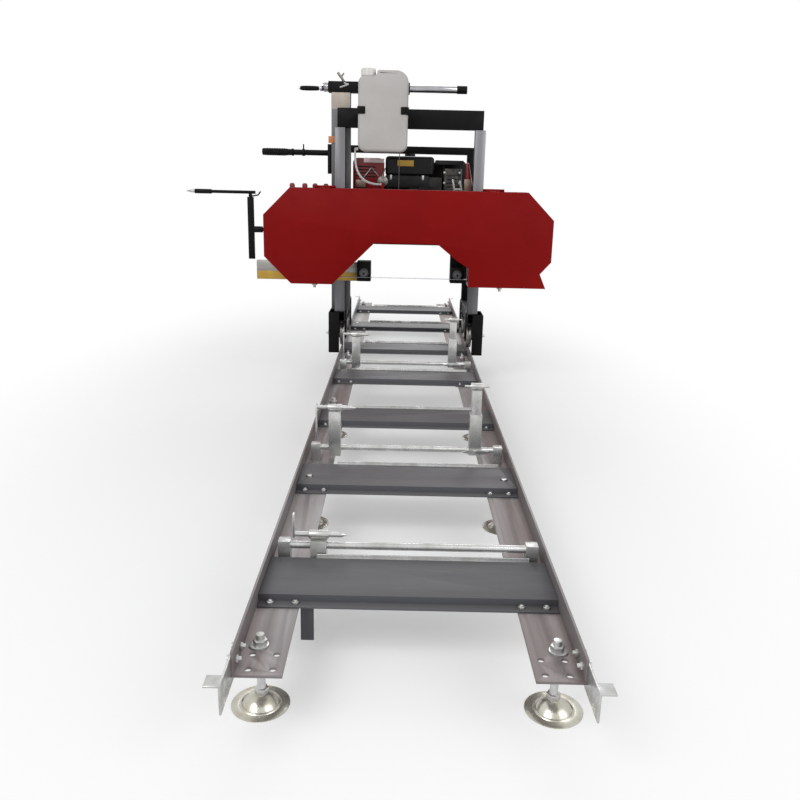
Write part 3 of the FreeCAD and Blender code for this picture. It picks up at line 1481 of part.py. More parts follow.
def engine_shroud():
    """The fan housing behind the crankcase and the cowl over the cylinder head."""
    back = S.engine_front + S.crankcase_depth
    drum = rod(S.crank_rise - S.shroud_clear, S.shroud_depth, (CRANK_X, back, CRANKSHAFT_Z), "y")
    bevel = S.cowl_bevel
    wide, high = S.cowl_width, S.cowl_height
    right = CRANK_X - S.crankcase_width / 2 - S.cylinder_length - S.running_gap
    left = right - wide
    cowl = profile("XZ", [(0, 0), (wide, 0), (wide, high - bevel), (wide - bevel, high), (bevel, high), (0, high - bevel)],
                   S.cowl_depth, (left, S.engine_front, SHELF_TOP))
    duct = block((right - S.cover_wall, CRANK_X), (back, back + S.shroud_depth / 2),
                 (SHELF_TOP + S.cylinder_low, SHELF_TOP + S.cylinder_low + S.cylinder_height))
    tie = block((right - wide / 2, right), (S.engine_front + S.cowl_depth - S.cover_wall, back + S.shroud_depth / 2),
                (SHELF_TOP + S.cylinder_low, SHELF_TOP + S.cylinder_low + S.cylinder_height))
    return join([drum, cowl, duct, tie])


def fuel_tank():
    """The fuel tank on top of the engine, with its filler cap."""
    left = out(S.fuel_left, -1)
    low = SHELF_TOP + CRANKCASE_HEIGHT
    body = profile("XY", [(0, 0), (S.fuel_width, 0), (S.fuel_width, S.fuel_depth), (0, S.fuel_depth)], S.fuel_height,
                   (left, S.engine_front, low))
    soft = rounded(body, S.fuel_round, lambda way, middle: True)
    top = low + S.fuel_height
    cap = rod(S.fuel_cap_radius, S.fuel_cap_height + S.overrun,
              (left + S.fuel_width / 2, S.engine_front + S.fuel_depth / 2, top - S.overrun))
    return join([soft, cap])


def muffler():
    """The exhaust silencer with a slotted heat guard."""
    left = CRANK_X + S.crankcase_width / 2 + S.muffler_gap
    low = SHELF_TOP + S.muffler_low
    y = S.engine_front + S.fin_depth
    body = profile("XY", [(0, 0), (S.muffler_width, 0), (S.muffler_width, S.muffler_depth), (0, S.muffler_depth)],
                   S.muffler_height, (left, y, low))
    soft = rounded(body, S.muffler_round, lambda way, middle: abs(way.z) > STEEP)
    slots = []
    for index in range(SLOT_COUNT):
        z = low + S.slot_pitch * (index + 1)
        slots.append(block((left + S.muffler_round, left + S.muffler_width - S.muffler_round),
                           (y - S.overrun, y + S.overrun), (z, z + S.slot_height)))
    pipe = rod(S.muffler_round, S.muffler_gap + S.overrun,
               (left - S.muffler_gap, y + S.muffler_depth / 2, low + S.muffler_round * 2), "x")
    return join([cut(soft, slots), pipe])


def engine_pulley():
    """The engine's belt pulley, on the crankshaft."""
    pulley = grooved_pulley(S.engine_pulley, CRANK_X, CRANKSHAFT_Z, S.shaft_size)
    reach = S.engine_front - S.pulley_gap - S.running_gap - PULLEY_FRONT
    shaft = rod(S.shaft_size, reach, (CRANK_X, PULLEY_FRONT, CRANKSHAFT_Z), "y")
    return join([pulley, shaft])


def belt_loop(grow):
    """A closed loop round both pulleys on the belt's plane: two arcs and their common tangents."""
    body = new("PartDesign::Body", "belt")
    base = next(f for f in body.Origin.OriginFeatures if f.Role == "XZ_Plane")
    drawing = body.newObject("Sketcher::SketchObject", f"loop_{next(serial)}")
    drawing.AttachmentSupport = [(base, "")]
    drawing.MapMode = "FlatFace"
    small, large = S.engine_pulley + S.running_gap + grow, S.drive_pulley + S.running_gap + grow
    across, down = out(S.blade_wheel_out) - CRANK_X, CRANKSHAFT_Z - WHEEL_Z
    far = Vector(across.value, -down.value, 0)
    lean = math.acos((small.value - large.value) / far.Length)
    heading = math.atan2(far.y, far.x)
    first, last = heading + lean, heading - lean
    normal = Vector(0, 0, 1)
    near_arc = drawing.addGeometry(Part.ArcOfCircle(Part.Circle(Vector(), normal, small.value), first,
                                                    last + 2 * math.pi))
    far_arc = drawing.addGeometry(Part.ArcOfCircle(Part.Circle(far, normal, large.value), last, first))

    def on(centre, radius, angle):
        return centre + Vector(math.cos(angle), math.sin(angle), 0) * radius

    lower = drawing.addGeometry(Part.LineSegment(on(Vector(), small.value, last), on(far, large.value, last)))
    upper = drawing.addGeometry(Part.LineSegment(on(far, large.value, first), on(Vector(), small.value, first)))
    for one, one_end, other, other_end in ((near_arc, 2, lower, 1), (lower, 2, far_arc, 1),
                                           (far_arc, 2, upper, 1), (upper, 2, near_arc, 1)):
        drawing.addConstraint(Sketcher.Constraint("Tangent", one, one_end, other, other_end))
    drawing.addConstraint(Sketcher.Constraint("Coincident", near_arc, 3, -1, 1))
    for constraint, text in (
        (Sketcher.Constraint("Radius", near_arc, small.value), small.text),
        (Sketcher.Constraint("Radius", far_arc, large.value), large.text),
        (Sketcher.Constraint("DistanceX", -1, 1, far_arc, 3, across.value), across.text),
        (Sketcher.Constraint("DistanceY", -1, 1, far_arc, 3, -down.value), (-down).text),
    ):
        place = drawing.addConstraint(constraint)
        drawing.setExpression(f"Constraints[{place}]", text)
    pad = body.newObject("PartDesign::Pad", f"pad_{next(serial)}")
    pad.Profile = drawing
    pad.Reversed = True
    bind(pad, "Length", S.belt_width)
    return move(body, (CRANK_X, MAST_Y - S.belt_width / 2, CRANKSHAFT_Z))


def drive_belt():
    """The belt in both pulleys' grooves."""
    return cut(belt_loop(S.belt_thick), [belt_loop(S.running_gap * 0)])


def build_engine():
    node("engine_block", engine_block())
    node("engine_shroud", engine_shroud())
    node("fuel_tank", fuel_tank())
    node("muffler", muffler())
    node("engine_pulley", engine_pulley())
    node("drive_belt", drive_belt())


# Water hose

BEND_SHARE = 0.45


def rounded_route(points):
    """A wire of straight runs joined by tangent arcs, with its radii."""
    edges, radii = [], []
    start = points[0]
    for index in range(1, len(points) - 1):
        before, here, after = points[index - 1], points[index], points[index + 1]
        into, away = (here - before), (after - here)
        run = min(into.Length, away.Length)
        into.normalize()
        away.normalize()
        turn = into.getAngle(away)
        back = BEND_SHARE * run
        radius = back / math.tan(turn / 2)
        radii.append(radius)
        first, last = here - into * back, here + away * back
        bisector = away - into
        bisector.normalize()
        centre = here + bisector * (radius / math.cos(turn / 2))
        middle = centre - bisector * radius
        edges.append(Part.LineSegment(start, first).toShape())
        edges.append(Part.Arc(first, middle, last).toShape())
        start = last
    edges.append(Part.LineSegment(start, points[-1]).toShape())
    return Part.Wire(edges), radii


# Shares of the way across and of the drop, for each point of the hose's route.
HOSE_SHARES = ((0, 0), (0, 0.295), (0.091, 0.636), (0.348, 0.898), (0.727, 1), (1, 1))


def hose_points():
    """The hose's route: down from the tank's tap and over to the right onto the barb."""
    top = Vector(number(HOSE_X), number(HOSE_Y), number(HOSE_TOP))
    end = Vector(number(BARB_X - S.barb_post), number(HOSE_Y), number(BARB_Z))
    way = end - top
    return [Vector(top.x + way.x * across, top.y, top.z + way.z * down) for across, down in HOSE_SHARES]


def water_hose():
    route, radii = rounded_route(hose_points())
    start = route.Edges[0]
    way = start.tangentAt(start.FirstParameter)
    ring = Part.Wire(Part.makeCircle(number(S.hose_radius), start.valueAt(start.FirstParameter), way))
    solid = route.makePipeShell([ring], True, False)
    bore = Part.Wire(Part.makeCircle(number(S.barb_radius), start.valueAt(start.FirstParameter), way))
    room = route.makePipeShell([bore], True, False)
    print("hose radii", [round(radius, 1) for radius in radii], "length", round(route.Length, 1),
          "volume ratio", round(solid.Volume / (math.pi * number(S.hose_radius) ** 2 * route.Length), 4))
    hose = new("Part::Feature", "hose")
    hose.Shape = solid.cut(room)
    return hose


def check_and_write():
    """Checks every object, then writes each sub-part to its own file."""
    doc.recompute()
    problems = [f"{thing.Name}: {thing.State}" for thing in doc.Objects
                if "Invalid" in thing.State or "Error" in thing.State]
    for name, thing in nodes.items():
        shape = thing.Shape
        if shape.isNull() or not shape.isValid() or not shape.Solids:
            problems.append(f"{name} has no valid solid")
    if problems:
        sys.exit("\n".join(problems))
    os.makedirs("parts", exist_ok=True)
    for name, thing in nodes.items():
        thing.Shape.exportStep(os.path.join("parts", f"{name}.step"))
    print(f"wrote {len(nodes)} sub-parts")


build_track()
build_clamps()
build_carriage()
build_head()
build_engine()
node("water_hose", water_hose())
check_and_write()
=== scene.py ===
"""Dresses a portable band sawmill: painted and plated steel, a small engine, a water tank and its hose."""
from __future__ import annotations

import json
import logging
import math
from dataclasses import dataclass, field
from enum import Enum
from typing import Callable, Iterable

import bpy
from mathutils import Matrix, Vector

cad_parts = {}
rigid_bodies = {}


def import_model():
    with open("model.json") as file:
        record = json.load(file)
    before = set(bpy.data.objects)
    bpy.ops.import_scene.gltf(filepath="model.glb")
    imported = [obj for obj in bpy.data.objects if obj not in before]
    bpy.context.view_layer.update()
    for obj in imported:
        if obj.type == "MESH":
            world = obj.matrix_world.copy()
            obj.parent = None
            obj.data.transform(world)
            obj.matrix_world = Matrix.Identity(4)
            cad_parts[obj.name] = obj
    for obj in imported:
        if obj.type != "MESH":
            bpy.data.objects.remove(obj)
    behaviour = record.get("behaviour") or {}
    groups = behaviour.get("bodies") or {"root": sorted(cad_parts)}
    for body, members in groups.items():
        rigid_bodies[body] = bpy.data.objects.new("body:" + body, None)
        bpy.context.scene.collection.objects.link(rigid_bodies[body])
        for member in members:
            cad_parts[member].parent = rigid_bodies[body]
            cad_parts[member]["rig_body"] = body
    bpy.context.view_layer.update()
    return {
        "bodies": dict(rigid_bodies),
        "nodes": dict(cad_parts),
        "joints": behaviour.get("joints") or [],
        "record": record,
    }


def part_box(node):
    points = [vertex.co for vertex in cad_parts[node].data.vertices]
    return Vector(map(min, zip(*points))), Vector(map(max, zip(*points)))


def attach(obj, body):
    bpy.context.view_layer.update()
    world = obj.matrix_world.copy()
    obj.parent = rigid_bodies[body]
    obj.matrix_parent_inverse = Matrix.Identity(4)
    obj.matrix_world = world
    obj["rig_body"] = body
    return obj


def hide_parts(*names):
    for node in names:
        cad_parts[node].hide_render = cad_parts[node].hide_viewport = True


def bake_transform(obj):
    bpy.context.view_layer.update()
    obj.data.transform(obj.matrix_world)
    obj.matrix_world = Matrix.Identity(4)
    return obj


LOG = logging.getLogger("sawmill")
Point = tuple[float, float, float]
Colour = tuple[float, float, float]
Ends = tuple[Point, Point]
Rings = tuple[tuple[float, float], ...]
TINY = 1e-6
FACING = 0.9
MERGE_GAP = 0.00002
FLAT_DEGREES = 0.6


class Axis(Enum):
    """The direction that a turned or stacked piece grows along."""

    X = (1.0, 0.0, 0.0)
    BACK_X = (-1.0, 0.0, 0.0)
    Y = (0.0, 1.0, 0.0)
    BACK_Y = (0.0, -1.0, 0.0)
    Z = (0.0, 0.0, 1.0)

    @property
    def way(self) -> Vector:
        """The unit vector of the axis."""
        return Vector(self.value)


class Grain(Enum):
    """The way that a finish's pattern runs, as a scale on each object axis."""

    EVEN = (1.0, 1.0, 1.0)
    ALONG_X = (0.12, 1.0, 1.0)
    ALONG_Y = (1.0, 0.06, 1.0)
    ALONG_Z = (1.0, 1.0, 0.1)


def linear(colour: Colour) -> tuple[float, float, float, float]:
    """Turns a screen colour into the shader's linear colour.

    Args:
        colour: red, green and blue as a screen shows them, from 0 to 1.

    Returns:
        The linear colour with full alpha.
    """
    turned = [c / 12.92 if c <= 0.04045 else ((c + 0.055) / 1.055) ** 2.4 for c in colour]
    return (turned[0], turned[1], turned[2], 1.0)


class Effects:
    """Shader groups that several finishes share, each built once."""

    def __init__(self) -> None:
        """Starts with no group built."""
        self._built: dict[str, bpy.types.NodeTree] = {}

    def _new(self, name: str, inputs: Iterable[tuple[str, str, object]], outputs: Iterable[tuple[str, str]]
             ) -> tuple[bpy.types.NodeTree, bpy.types.Node, bpy.types.Node]:
        """Makes an empty group with its sockets.

        Args:
            name: the group's name.
            inputs: each input's name, socket type and default.
            outputs: each output's name and socket type.

        Returns:
            The group, its input node and its output node.
        """
        tree = bpy.data.node_groups.new(name, "ShaderNodeTree")
        for label, kind, default in inputs:
            socket = tree.interface.new_socket(name=label, in_out="INPUT", socket_type=kind)
            socket.default_value = default
        for label, kind in outputs:
            tree.interface.new_socket(name=label, in_out="OUTPUT", socket_type=kind)
        self._built[name] = tree
        return tree, tree.nodes.new("NodeGroupInput"), tree.nodes.new("NodeGroupOutput")

    @staticmethod
    def _noise(tree: bpy.types.NodeTree, entry: bpy.types.Node, detail: float,
               rough: float) -> bpy.types.Node:
        """Adds a noise on object coordinates, stretched by the group's Stretch and Scale inputs.

        Args:
            tree: the group.
            entry: its input node.
            detail: how many finer layers the noise has.
            rough: how strong those layers are.

        Returns:
            The noise node.
        """
        place = tree.nodes.new("ShaderNodeTexCoord")
        stretch = tree.nodes.new("ShaderNodeVectorMath")
        stretch.operation = "MULTIPLY"
        noise = tree.nodes.new("ShaderNodeTexNoise")
        noise.inputs["Detail"].default_value = detail
        noise.inputs["Roughness"].default_value = rough
        tree.links.new(place.outputs["Object"], stretch.inputs[0])
        tree.links.new(entry.outputs["Stretch"], stretch.inputs[1])
        tree.links.new(stretch.outputs[0], noise.inputs["Vector"])
        tree.links.new(entry.outputs["Scale"], noise.inputs["Scale"])
        return noise

    def mottle(self) -> bpy.types.NodeTree:
        """Two shades that cloud into each other, with a roughness that follows them.

        Returns:
            The group.
        """
        if "mottle" in self._built:
            return self._built["mottle"]
        tree, entry, result = self._new(
            "mottle",
            [("Base", "NodeSocketColor", (0.5, 0.5, 0.5, 1)),
             ("Second", "NodeSocketColor", (0.4, 0.4, 0.4, 1)),
             ("Scale", "NodeSocketFloat", 8.0), ("Stretch", "NodeSocketVector", (1, 1, 1)),
             ("Low", "NodeSocketFloat", 0.4), ("High", "NodeSocketFloat", 0.5)],
            [("Colour", "NodeSocketColor"), ("Roughness", "NodeSocketFloat")])
        noise = self._noise(tree, entry, 6.0, 0.6)
        ramp = tree.nodes.new("ShaderNodeMapRange")
        ramp.inputs["From Min"].default_value, ramp.inputs["From Max"].default_value = 0.36, 0.66
        blend = tree.nodes.new("ShaderNodeMix")
        blend.data_type = "RGBA"
        rough = tree.nodes.new("ShaderNodeMapRange")
        tree.links.new(noise.outputs["Fac"], ramp.inputs["Value"])
        tree.links.new(ramp.outputs["Result"], blend.inputs["Factor"])
        tree.links.new(entry.outputs["Base"], blend.inputs["A"])
        tree.links.new(entry.outputs["Second"], blend.inputs["B"])
        tree.links.new(ramp.outputs["Result"], rough.inputs["Value"])
        tree.links.new(entry.outputs["Low"], rough.inputs["To Min"])
        tree.links.new(entry.outputs["High"], rough.inputs["To Max"])
        tree.links.new(blend.outputs["Result"], result.inputs["Colour"])
        tree.links.new(rough.outputs["Result"], result.inputs["Roughness"])
        return tree

    def specks(self) -> bpy.types.NodeTree:
        """Small marks in another colour, such as rust, scuffs or dried splashes.

        Returns:
            The group.
        """
        if "specks" in self._built:
            return self._built["specks"]
        tree, entry, result = self._new(
            "specks",
            [("Base", "NodeSocketColor", (0.5, 0.5, 0.5, 1)),
             ("Mark", "NodeSocketColor", (0.3, 0.2, 0.1, 1)),
             ("Scale", "NodeSocketFloat", 40.0), ("Stretch", "NodeSocketVector", (1, 1, 1)),
             ("Amount", "NodeSocketFloat", 0.2)],
            [("Colour", "NodeSocketColor")])
        noise = self._noise(tree, entry, 8.0, 0.7)
        edge = tree.nodes.new("ShaderNodeMapRange")
        edge.inputs["From Min"].default_value, edge.inputs["From Max"].default_value = 0.58, 0.68
        share = tree.nodes.new("ShaderNodeMath")
        share.operation = "MULTIPLY"
        blend = tree.nodes.new("ShaderNodeMix")
        blend.data_type = "RGBA"
        tree.links.new(noise.outputs["Fac"], edge.inputs["Value"])
        tree.links.new(edge.outputs["Result"], share.inputs[0])
        tree.links.new(entry.outputs["Amount"], share.inputs[1])
        tree.links.new(share.outputs[0], blend.inputs["Factor"])
        tree.links.new(entry.outputs["Base"], blend.inputs["A"])
        tree.links.new(entry.outputs["Mark"], blend.inputs["B"])
        tree.links.new(blend.outputs["Result"], result.inputs["Colour"])
        return tree

    def dust(self) -> bpy.types.NodeTree:
        """Pale dust on what faces up.

        Returns:
            The group.
        """
        if "dust" in self._built:
            return self._built["dust"]
        tree, entry, result = self._new(
            "dust",
            [("Base", "NodeSocketColor", (0.5, 0.5, 0.5, 1)),
             ("Powder", "NodeSocketColor", (0.5, 0.45, 0.4, 1)),
             ("Scale", "NodeSocketFloat", 14.0), ("Stretch", "NodeSocketVector", (1, 1, 1)),
             ("Amount", "NodeSocketFloat", 0.2)],
            [("Colour", "NodeSocketColor")])
        noise = self._noise(tree, entry, 5.0, 0.65)
        face = tree.nodes.new("ShaderNodeNewGeometry")
        split = tree.nodes.new("ShaderNodeSeparateXYZ")
        lift = tree.nodes.new("ShaderNodeMapRange")
        lift.inputs["From Min"].default_value, lift.inputs["From Max"].default_value = 0.2, 1.0
        both = tree.nodes.new("ShaderNodeMath")
        both.operation = "MULTIPLY"
        share = tree.nodes.new("ShaderNodeMath")
        share.operation = "MULTIPLY"
        blend = tree.nodes.new("ShaderNodeMix")
        blend.data_type = "RGBA"
        tree.links.new(face.outputs["Normal"], split.inputs[0])
        tree.links.new(split.outputs["Z"], lift.inputs["Value"])
        tree.links.new(lift.outputs["Result"], both.inputs[0])
        tree.links.new(noise.outputs["Fac"], both.inputs[1])
        tree.links.new(both.outputs[0], share.inputs[0])
        tree.links.new(entry.outputs["Amount"], share.inputs[1])
        tree.links.new(share.outputs[0], blend.inputs["Factor"])
        tree.links.new(entry.outputs["Base"], blend.inputs["A"])
        tree.links.new(entry.outputs["Powder"], blend.inputs["B"])
        tree.links.new(blend.outputs["Result"], result.inputs["Colour"])
        return tree

    def relief(self) -> bpy.types.NodeTree:
        """A fine uneven surface, such as orange peel, mill scale or cast skin.

        Returns:
            The group.
        """
        if "relief" in self._built:
            return self._built["relief"]
        tree, entry, result = self._new(
            "relief",
            [("Scale", "NodeSocketFloat", 200.0), ("Stretch", "NodeSocketVector", (1, 1, 1)),
             ("Strength", "NodeSocketFloat", 0.1)],
            [("Normal", "NodeSocketVector")])
        noise = self._noise(tree, entry, 3.0, 0.5)
        bump = tree.nodes.new("ShaderNodeBump")
        bump.inputs["Distance"].default_value = 0.001
        tree.links.new(entry.outputs["Strength"], bump.inputs["Strength"])
        tree.links.new(noise.outputs["Fac"], bump.inputs["Height"])
        tree.links.new(bump.outputs["Normal"], result.inputs["Normal"])
        return tree


@dataclass(frozen=True)
class Finish:
    """One surface finish: its two shades, marks, dust, gloss and relief."""

    name: str
    base: Colour
    second: Colour
    gloss: tuple[float, float] = (0.4, 0.55)
    metal: float = 0.0
    scale: float = 9.0
    grain: Grain = Grain.EVEN
    mark: Colour = (0.25, 0.2, 0.17)
    marks: float = 0.0
    mark_scale: float = 45.0
    powder: Colour = (0.62, 0.58, 0.53)
    dusty: float = 0.0
    relief: float = 0.15
    relief_scale: float = 260.0
    coat: float = 0.0
    clear: float = 0.0
    shine: float = 0.5

    def build(self, effects: Effects) -> bpy.types.Material:
        """Makes the material.

        Args:
            effects: the shared shader groups.

        Returns:
            The material.
        """
        material = bpy.data.materials.new(self.name)
        material.use_nodes = True
        tree = material.node_tree
        shader = tree.nodes["Principled BSDF"]

        def place(group: bpy.types.NodeTree, **values: object) -> bpy.types.Node:
            """Places a shared group and sets its inputs.

            Args:
                group: the shared group.
                values: each input's value, by the input's name.

            Returns:
                The group's node in this material.
            """
            node = tree.nodes.new("ShaderNodeGroup")
            node.node_tree = group
            node.inputs["Stretch"].default_value = self.grain.value
            for label, value in values.items():
                node.inputs[label].default_value = value
            return node

        cloud = place(effects.mottle(), Base=linear(self.base), Second=linear(self.second),
                      Scale=self.scale, Low=self.gloss[0], High=self.gloss[1])
        colour = cloud.outputs["Colour"]
        if self.marks:
            marked = place(effects.specks(), Mark=linear(self.mark), Scale=self.mark_scale,
                           Amount=self.marks)
            tree.links.new(colour, marked.inputs["Base"])
            colour = marked.outputs["Colour"]
        if self.dusty:
            dusted = place(effects.dust(), Powder=linear(self.powder), Amount=self.dusty)
            tree.links.new(colour, dusted.inputs["Base"])
            colour = dusted.outputs["Colour"]
        tree.links.new(colour, shader.inputs["Base Color"])
        tree.links.new(cloud.outputs["Roughness"], shader.inputs["Roughness"])
        bumps = place(effects.relief(), Scale=self.relief_scale, Strength=self.relief)
        tree.links.new(bumps.outputs["Normal"], shader.inputs["Normal"])
        shader.inputs["Metallic"].default_value = self.metal
        shader.inputs["Coat Weight"].default_value = self.coat
        shader.inputs["Transmission Weight"].default_value = self.clear
        shader.inputs["Specular IOR Level"].default_value = self.shine
        return material


class Paint(Enum):
    """Every finish on the machine."""

    ROLLED = Finish("hot_rolled_steel", (0.54, 0.53, 0.54), (0.42, 0.36, 0.345), (0.36, 0.58), 0.45, 5,
        Grain.ALONG_Y, (0.36, 0.22, 0.17), 0.35, 26, dusty=0.15, relief=0.25, shine=0.4)
    SLATE = Finish("slate_paint", (0.318, 0.32, 0.337), (0.278, 0.28, 0.295), (0.42, 0.58), 0.0, 5,
        Grain.ALONG_X, (0.47, 0.47, 0.48), 0.2, 60, dusty=0.15, relief=0.1, shine=0.3)
    ZINC = Finish("zinc_plate", (0.80, 0.80, 0.80), (0.66, 0.66, 0.645), (0.22, 0.42), 0.8, 20,
        mark=(0.50, 0.46, 0.38), marks=0.2, relief=0.1)
    FOOT = Finish("yellow_zinc_foot", (0.80, 0.79, 0.75), (0.68, 0.665, 0.61), (0.2, 0.36), 0.8, 16,
        mark=(0.50, 0.44, 0.34), marks=0.25, relief=0.08)
    GALVANISED = Finish("galvanised_tube", (0.50, 0.50, 0.515), (0.395, 0.39, 0.396), (0.34, 0.5), 0.6, 9,
        Grain.ALONG_Z, marks=0.15, relief=0.1)
    CREAM = Finish("pale_mast_face", (0.74, 0.70, 0.66), (0.66, 0.61, 0.56), (0.4, 0.55), 0.1, 9,
        Grain.ALONG_Z, marks=0.12, relief=0.08)
    RED = Finish("red_paint", (0.495, 0.058, 0.056), (0.47, 0.047, 0.048), (0.36, 0.5), 0.0, 4,
        mark=(0.42, 0.06, 0.06), marks=0.12, mark_scale=25, relief=0.06, relief_scale=420, shine=0.06)
    BLACK = Finish("black_paint", (0.05, 0.045, 0.044), (0.036, 0.032, 0.032), (0.46, 0.62), 0.0, 8,
        mark=(0.16, 0.15, 0.14), marks=0.15, mark_scale=70, dusty=0.04, relief=0.15, shine=0.12)
    CHROME = Finish("plated_shaft", (0.70, 0.70, 0.71), (0.62, 0.62, 0.635), (0.12, 0.24), 0.95, 18,
        relief=0.03)
    TANK = Finish("cloudy_tank_plastic", (0.725, 0.71, 0.70), (0.68, 0.665, 0.655), (0.4, 0.55), 0.0, 4,
        relief=0.06, relief_scale=120, clear=0.12, shine=0.35)
    CAP = Finish("white_cap_plastic", (0.86, 0.85, 0.83), (0.80, 0.79, 0.77), (0.35, 0.5), 0.0, 20,
        relief=0.06)
    RUBBER = Finish("black_rubber", (0.066, 0.061, 0.06), (0.048, 0.044, 0.042), (0.6, 0.8), 0.0, 30,
        dusty=0.04, relief=0.3, relief_scale=500, shine=0.12)
    TURNED = Finish("turned_steel", (0.60, 0.59, 0.58), (0.50, 0.49, 0.48), (0.24, 0.4), 0.85, 26,
        relief=0.06)
    CAST = Finish("cast_iron_wheel", (0.31, 0.31, 0.32), (0.24, 0.24, 0.25), (0.4, 0.6), 0.5, 20,
        relief=0.3)
    BLADE = Finish("saw_band", (0.70, 0.71, 0.73), (0.60, 0.61, 0.64), (0.2, 0.34), 0.9, 16,
        Grain.ALONG_X, relief=0.05)
    ARM = Finish("steel_guide_arm", (0.66, 0.655, 0.64), (0.50, 0.49, 0.47), (0.26, 0.42), 0.7, 8,
        Grain.ALONG_X, marks=0.2, relief=0.1)
    YELLOW = Finish("yellow_strip", (0.78, 0.63, 0.22), (0.70, 0.55, 0.17), (0.36, 0.5), 0.0, 9,
        marks=0.15, relief=0.05)
    ENGINE = Finish("engine_black", (0.075, 0.075, 0.08), (0.05, 0.05, 0.055), (0.45, 0.65), 0.1, 18,
        dusty=0.06, relief=0.3, relief_scale=320, shine=0.3)
    ENGINE_RED = Finish("engine_red", (0.50, 0.09, 0.11), (0.40, 0.06, 0.08), (0.26, 0.4), 0.0, 9,
        relief=0.05, coat=0.15, shine=0.3)
    FUEL = Finish("fuel_tank_black", (0.06, 0.06, 0.062), (0.045, 0.045, 0.048), (0.24, 0.36), 0.0, 8,
        relief=0.03, shine=0.2)
    MUFFLER = Finish("burnt_muffler", (0.30, 0.29, 0.28), (0.16, 0.15, 0.15), (0.34, 0.5), 0.7, 24,
        mark=(0.62, 0.60, 0.56), marks=0.4, relief=0.2)
    ALLOY = Finish("cast_alloy", (0.64, 0.63, 0.61), (0.46, 0.44, 0.42), (0.34, 0.5), 0.8, 24, relief=0.3)
    BRONZE = Finish("browned_plate", (0.52, 0.45, 0.40), (0.42, 0.35, 0.30), (0.36, 0.5), 0.6, 18,
        relief=0.15)
    HOSE = Finish("clear_hose", (0.86, 0.86, 0.86), (0.78, 0.78, 0.78), (0.16, 0.28), 0.0, 10,
        relief=0.02, clear=0.45)
    WIRE = Finish("wire_rope", (0.40, 0.40, 0.41), (0.30, 0.30, 0.31), (0.3, 0.45), 0.85, 90, relief=0.6,
        relief_scale=900)
    ORANGE = Finish("orange_pointer", (0.80, 0.52, 0.30), (0.72, 0.44, 0.24), (0.4, 0.5), 0.0, 10)
    BLANK = Finish("blank_pale_plate", (0.78, 0.72, 0.71), (0.70, 0.63, 0.62), (0.3, 0.45), 0.2, 30,
        relief=0.05)


EFFECTS = Effects()
_MADE: dict[Paint, bpy.types.Material] = {}


def material_of(paint: Paint) -> bpy.types.Material:
    """Gives a finish's material and makes it the first time.

    Args:
        paint: the finish.

    Returns:
        The material.
    """
    if paint not in _MADE:
        _MADE[paint] = paint.value.build(EFFECTS)
    return _MADE[paint]


def only(obj: bpy.types.Object) -> None:
    """Makes one object the only selected and active one.

    Args:
        obj: the object.
    """
    bpy.ops.object.select_all(action="DESELECT")
    obj.select_set(True)
    bpy.context.view_layer.objects.active = obj


def settle(obj: bpy.types.Object) -> bpy.types.Object:
    """Puts an object's place and turn into its mesh, so that the object sits at the origin.

    Args:
        obj: the object.

    Returns:
        The same object.
    """
    only(obj)
    bpy.ops.object.transform_apply(location=True, rotation=True, scale=True)
    return obj


def select_where(obj: bpy.types.Object, test: Callable[[Vector, Vector], bool]) -> int:
    """Selects the faces that pass a test. The object has to be in edit mode before and stays so.

    Args:
        obj: the object in edit mode.
        test: takes a face's middle and its normal.

    Returns:
        How many faces are selected.
    """
    bpy.ops.mesh.select_mode(type="FACE")
    bpy.ops.mesh.select_all(action="DESELECT")
    bpy.ops.object.mode_set(mode="OBJECT")
    count = 0
    for polygon in obj.data.polygons:
        if test(polygon.center, polygon.normal):
            polygon.select = True
            count += 1
    bpy.ops.object.mode_set(mode="EDIT")
    return count


def bevelled(obj: bpy.types.Object, width: float, segments: int = 2,
             angle: float = 35.0) -> bpy.types.Object:
    """Rounds an object's sharp edges and shades it smooth.

    Args:
        obj: the object.
        width: the bevel's width in metres, or nothing for none.
        segments: how many steps the bevel has.
        angle: edges sharper than this, in degrees, are rounded.

    Returns:
        The same object.
    """
    only(obj)
    if width:
        bevel = obj.modifiers.new("edges", "BEVEL")
        bevel.width = width
        bevel.segments = segments
        bevel.limit_method = "ANGLE"
        bevel.angle_limit = math.radians(angle)
        bevel.harden_normals = False
        bpy.ops.object.modifier_apply(modifier=bevel.name)
    bpy.ops.object.shade_smooth_by_angle(angle=math.radians(angle))
    return obj


def box(name: str, low: Point, high: Point) -> bpy.types.Object:
    """Adds a block between two corners.

    Args:
        name: the new object's name.
        low: the lowest corner.
        high: the highest corner.

    Returns:
        The block, with its place in its mesh.
    """
    middle = [(a + b) / 2 for a, b in zip(low, high)]
    bpy.ops.mesh.primitive_cube_add(size=1, location=middle)
    obj = bpy.context.object
    obj.name = name
    obj.scale = [b - a for a, b in zip(low, high)]
    return settle(obj)


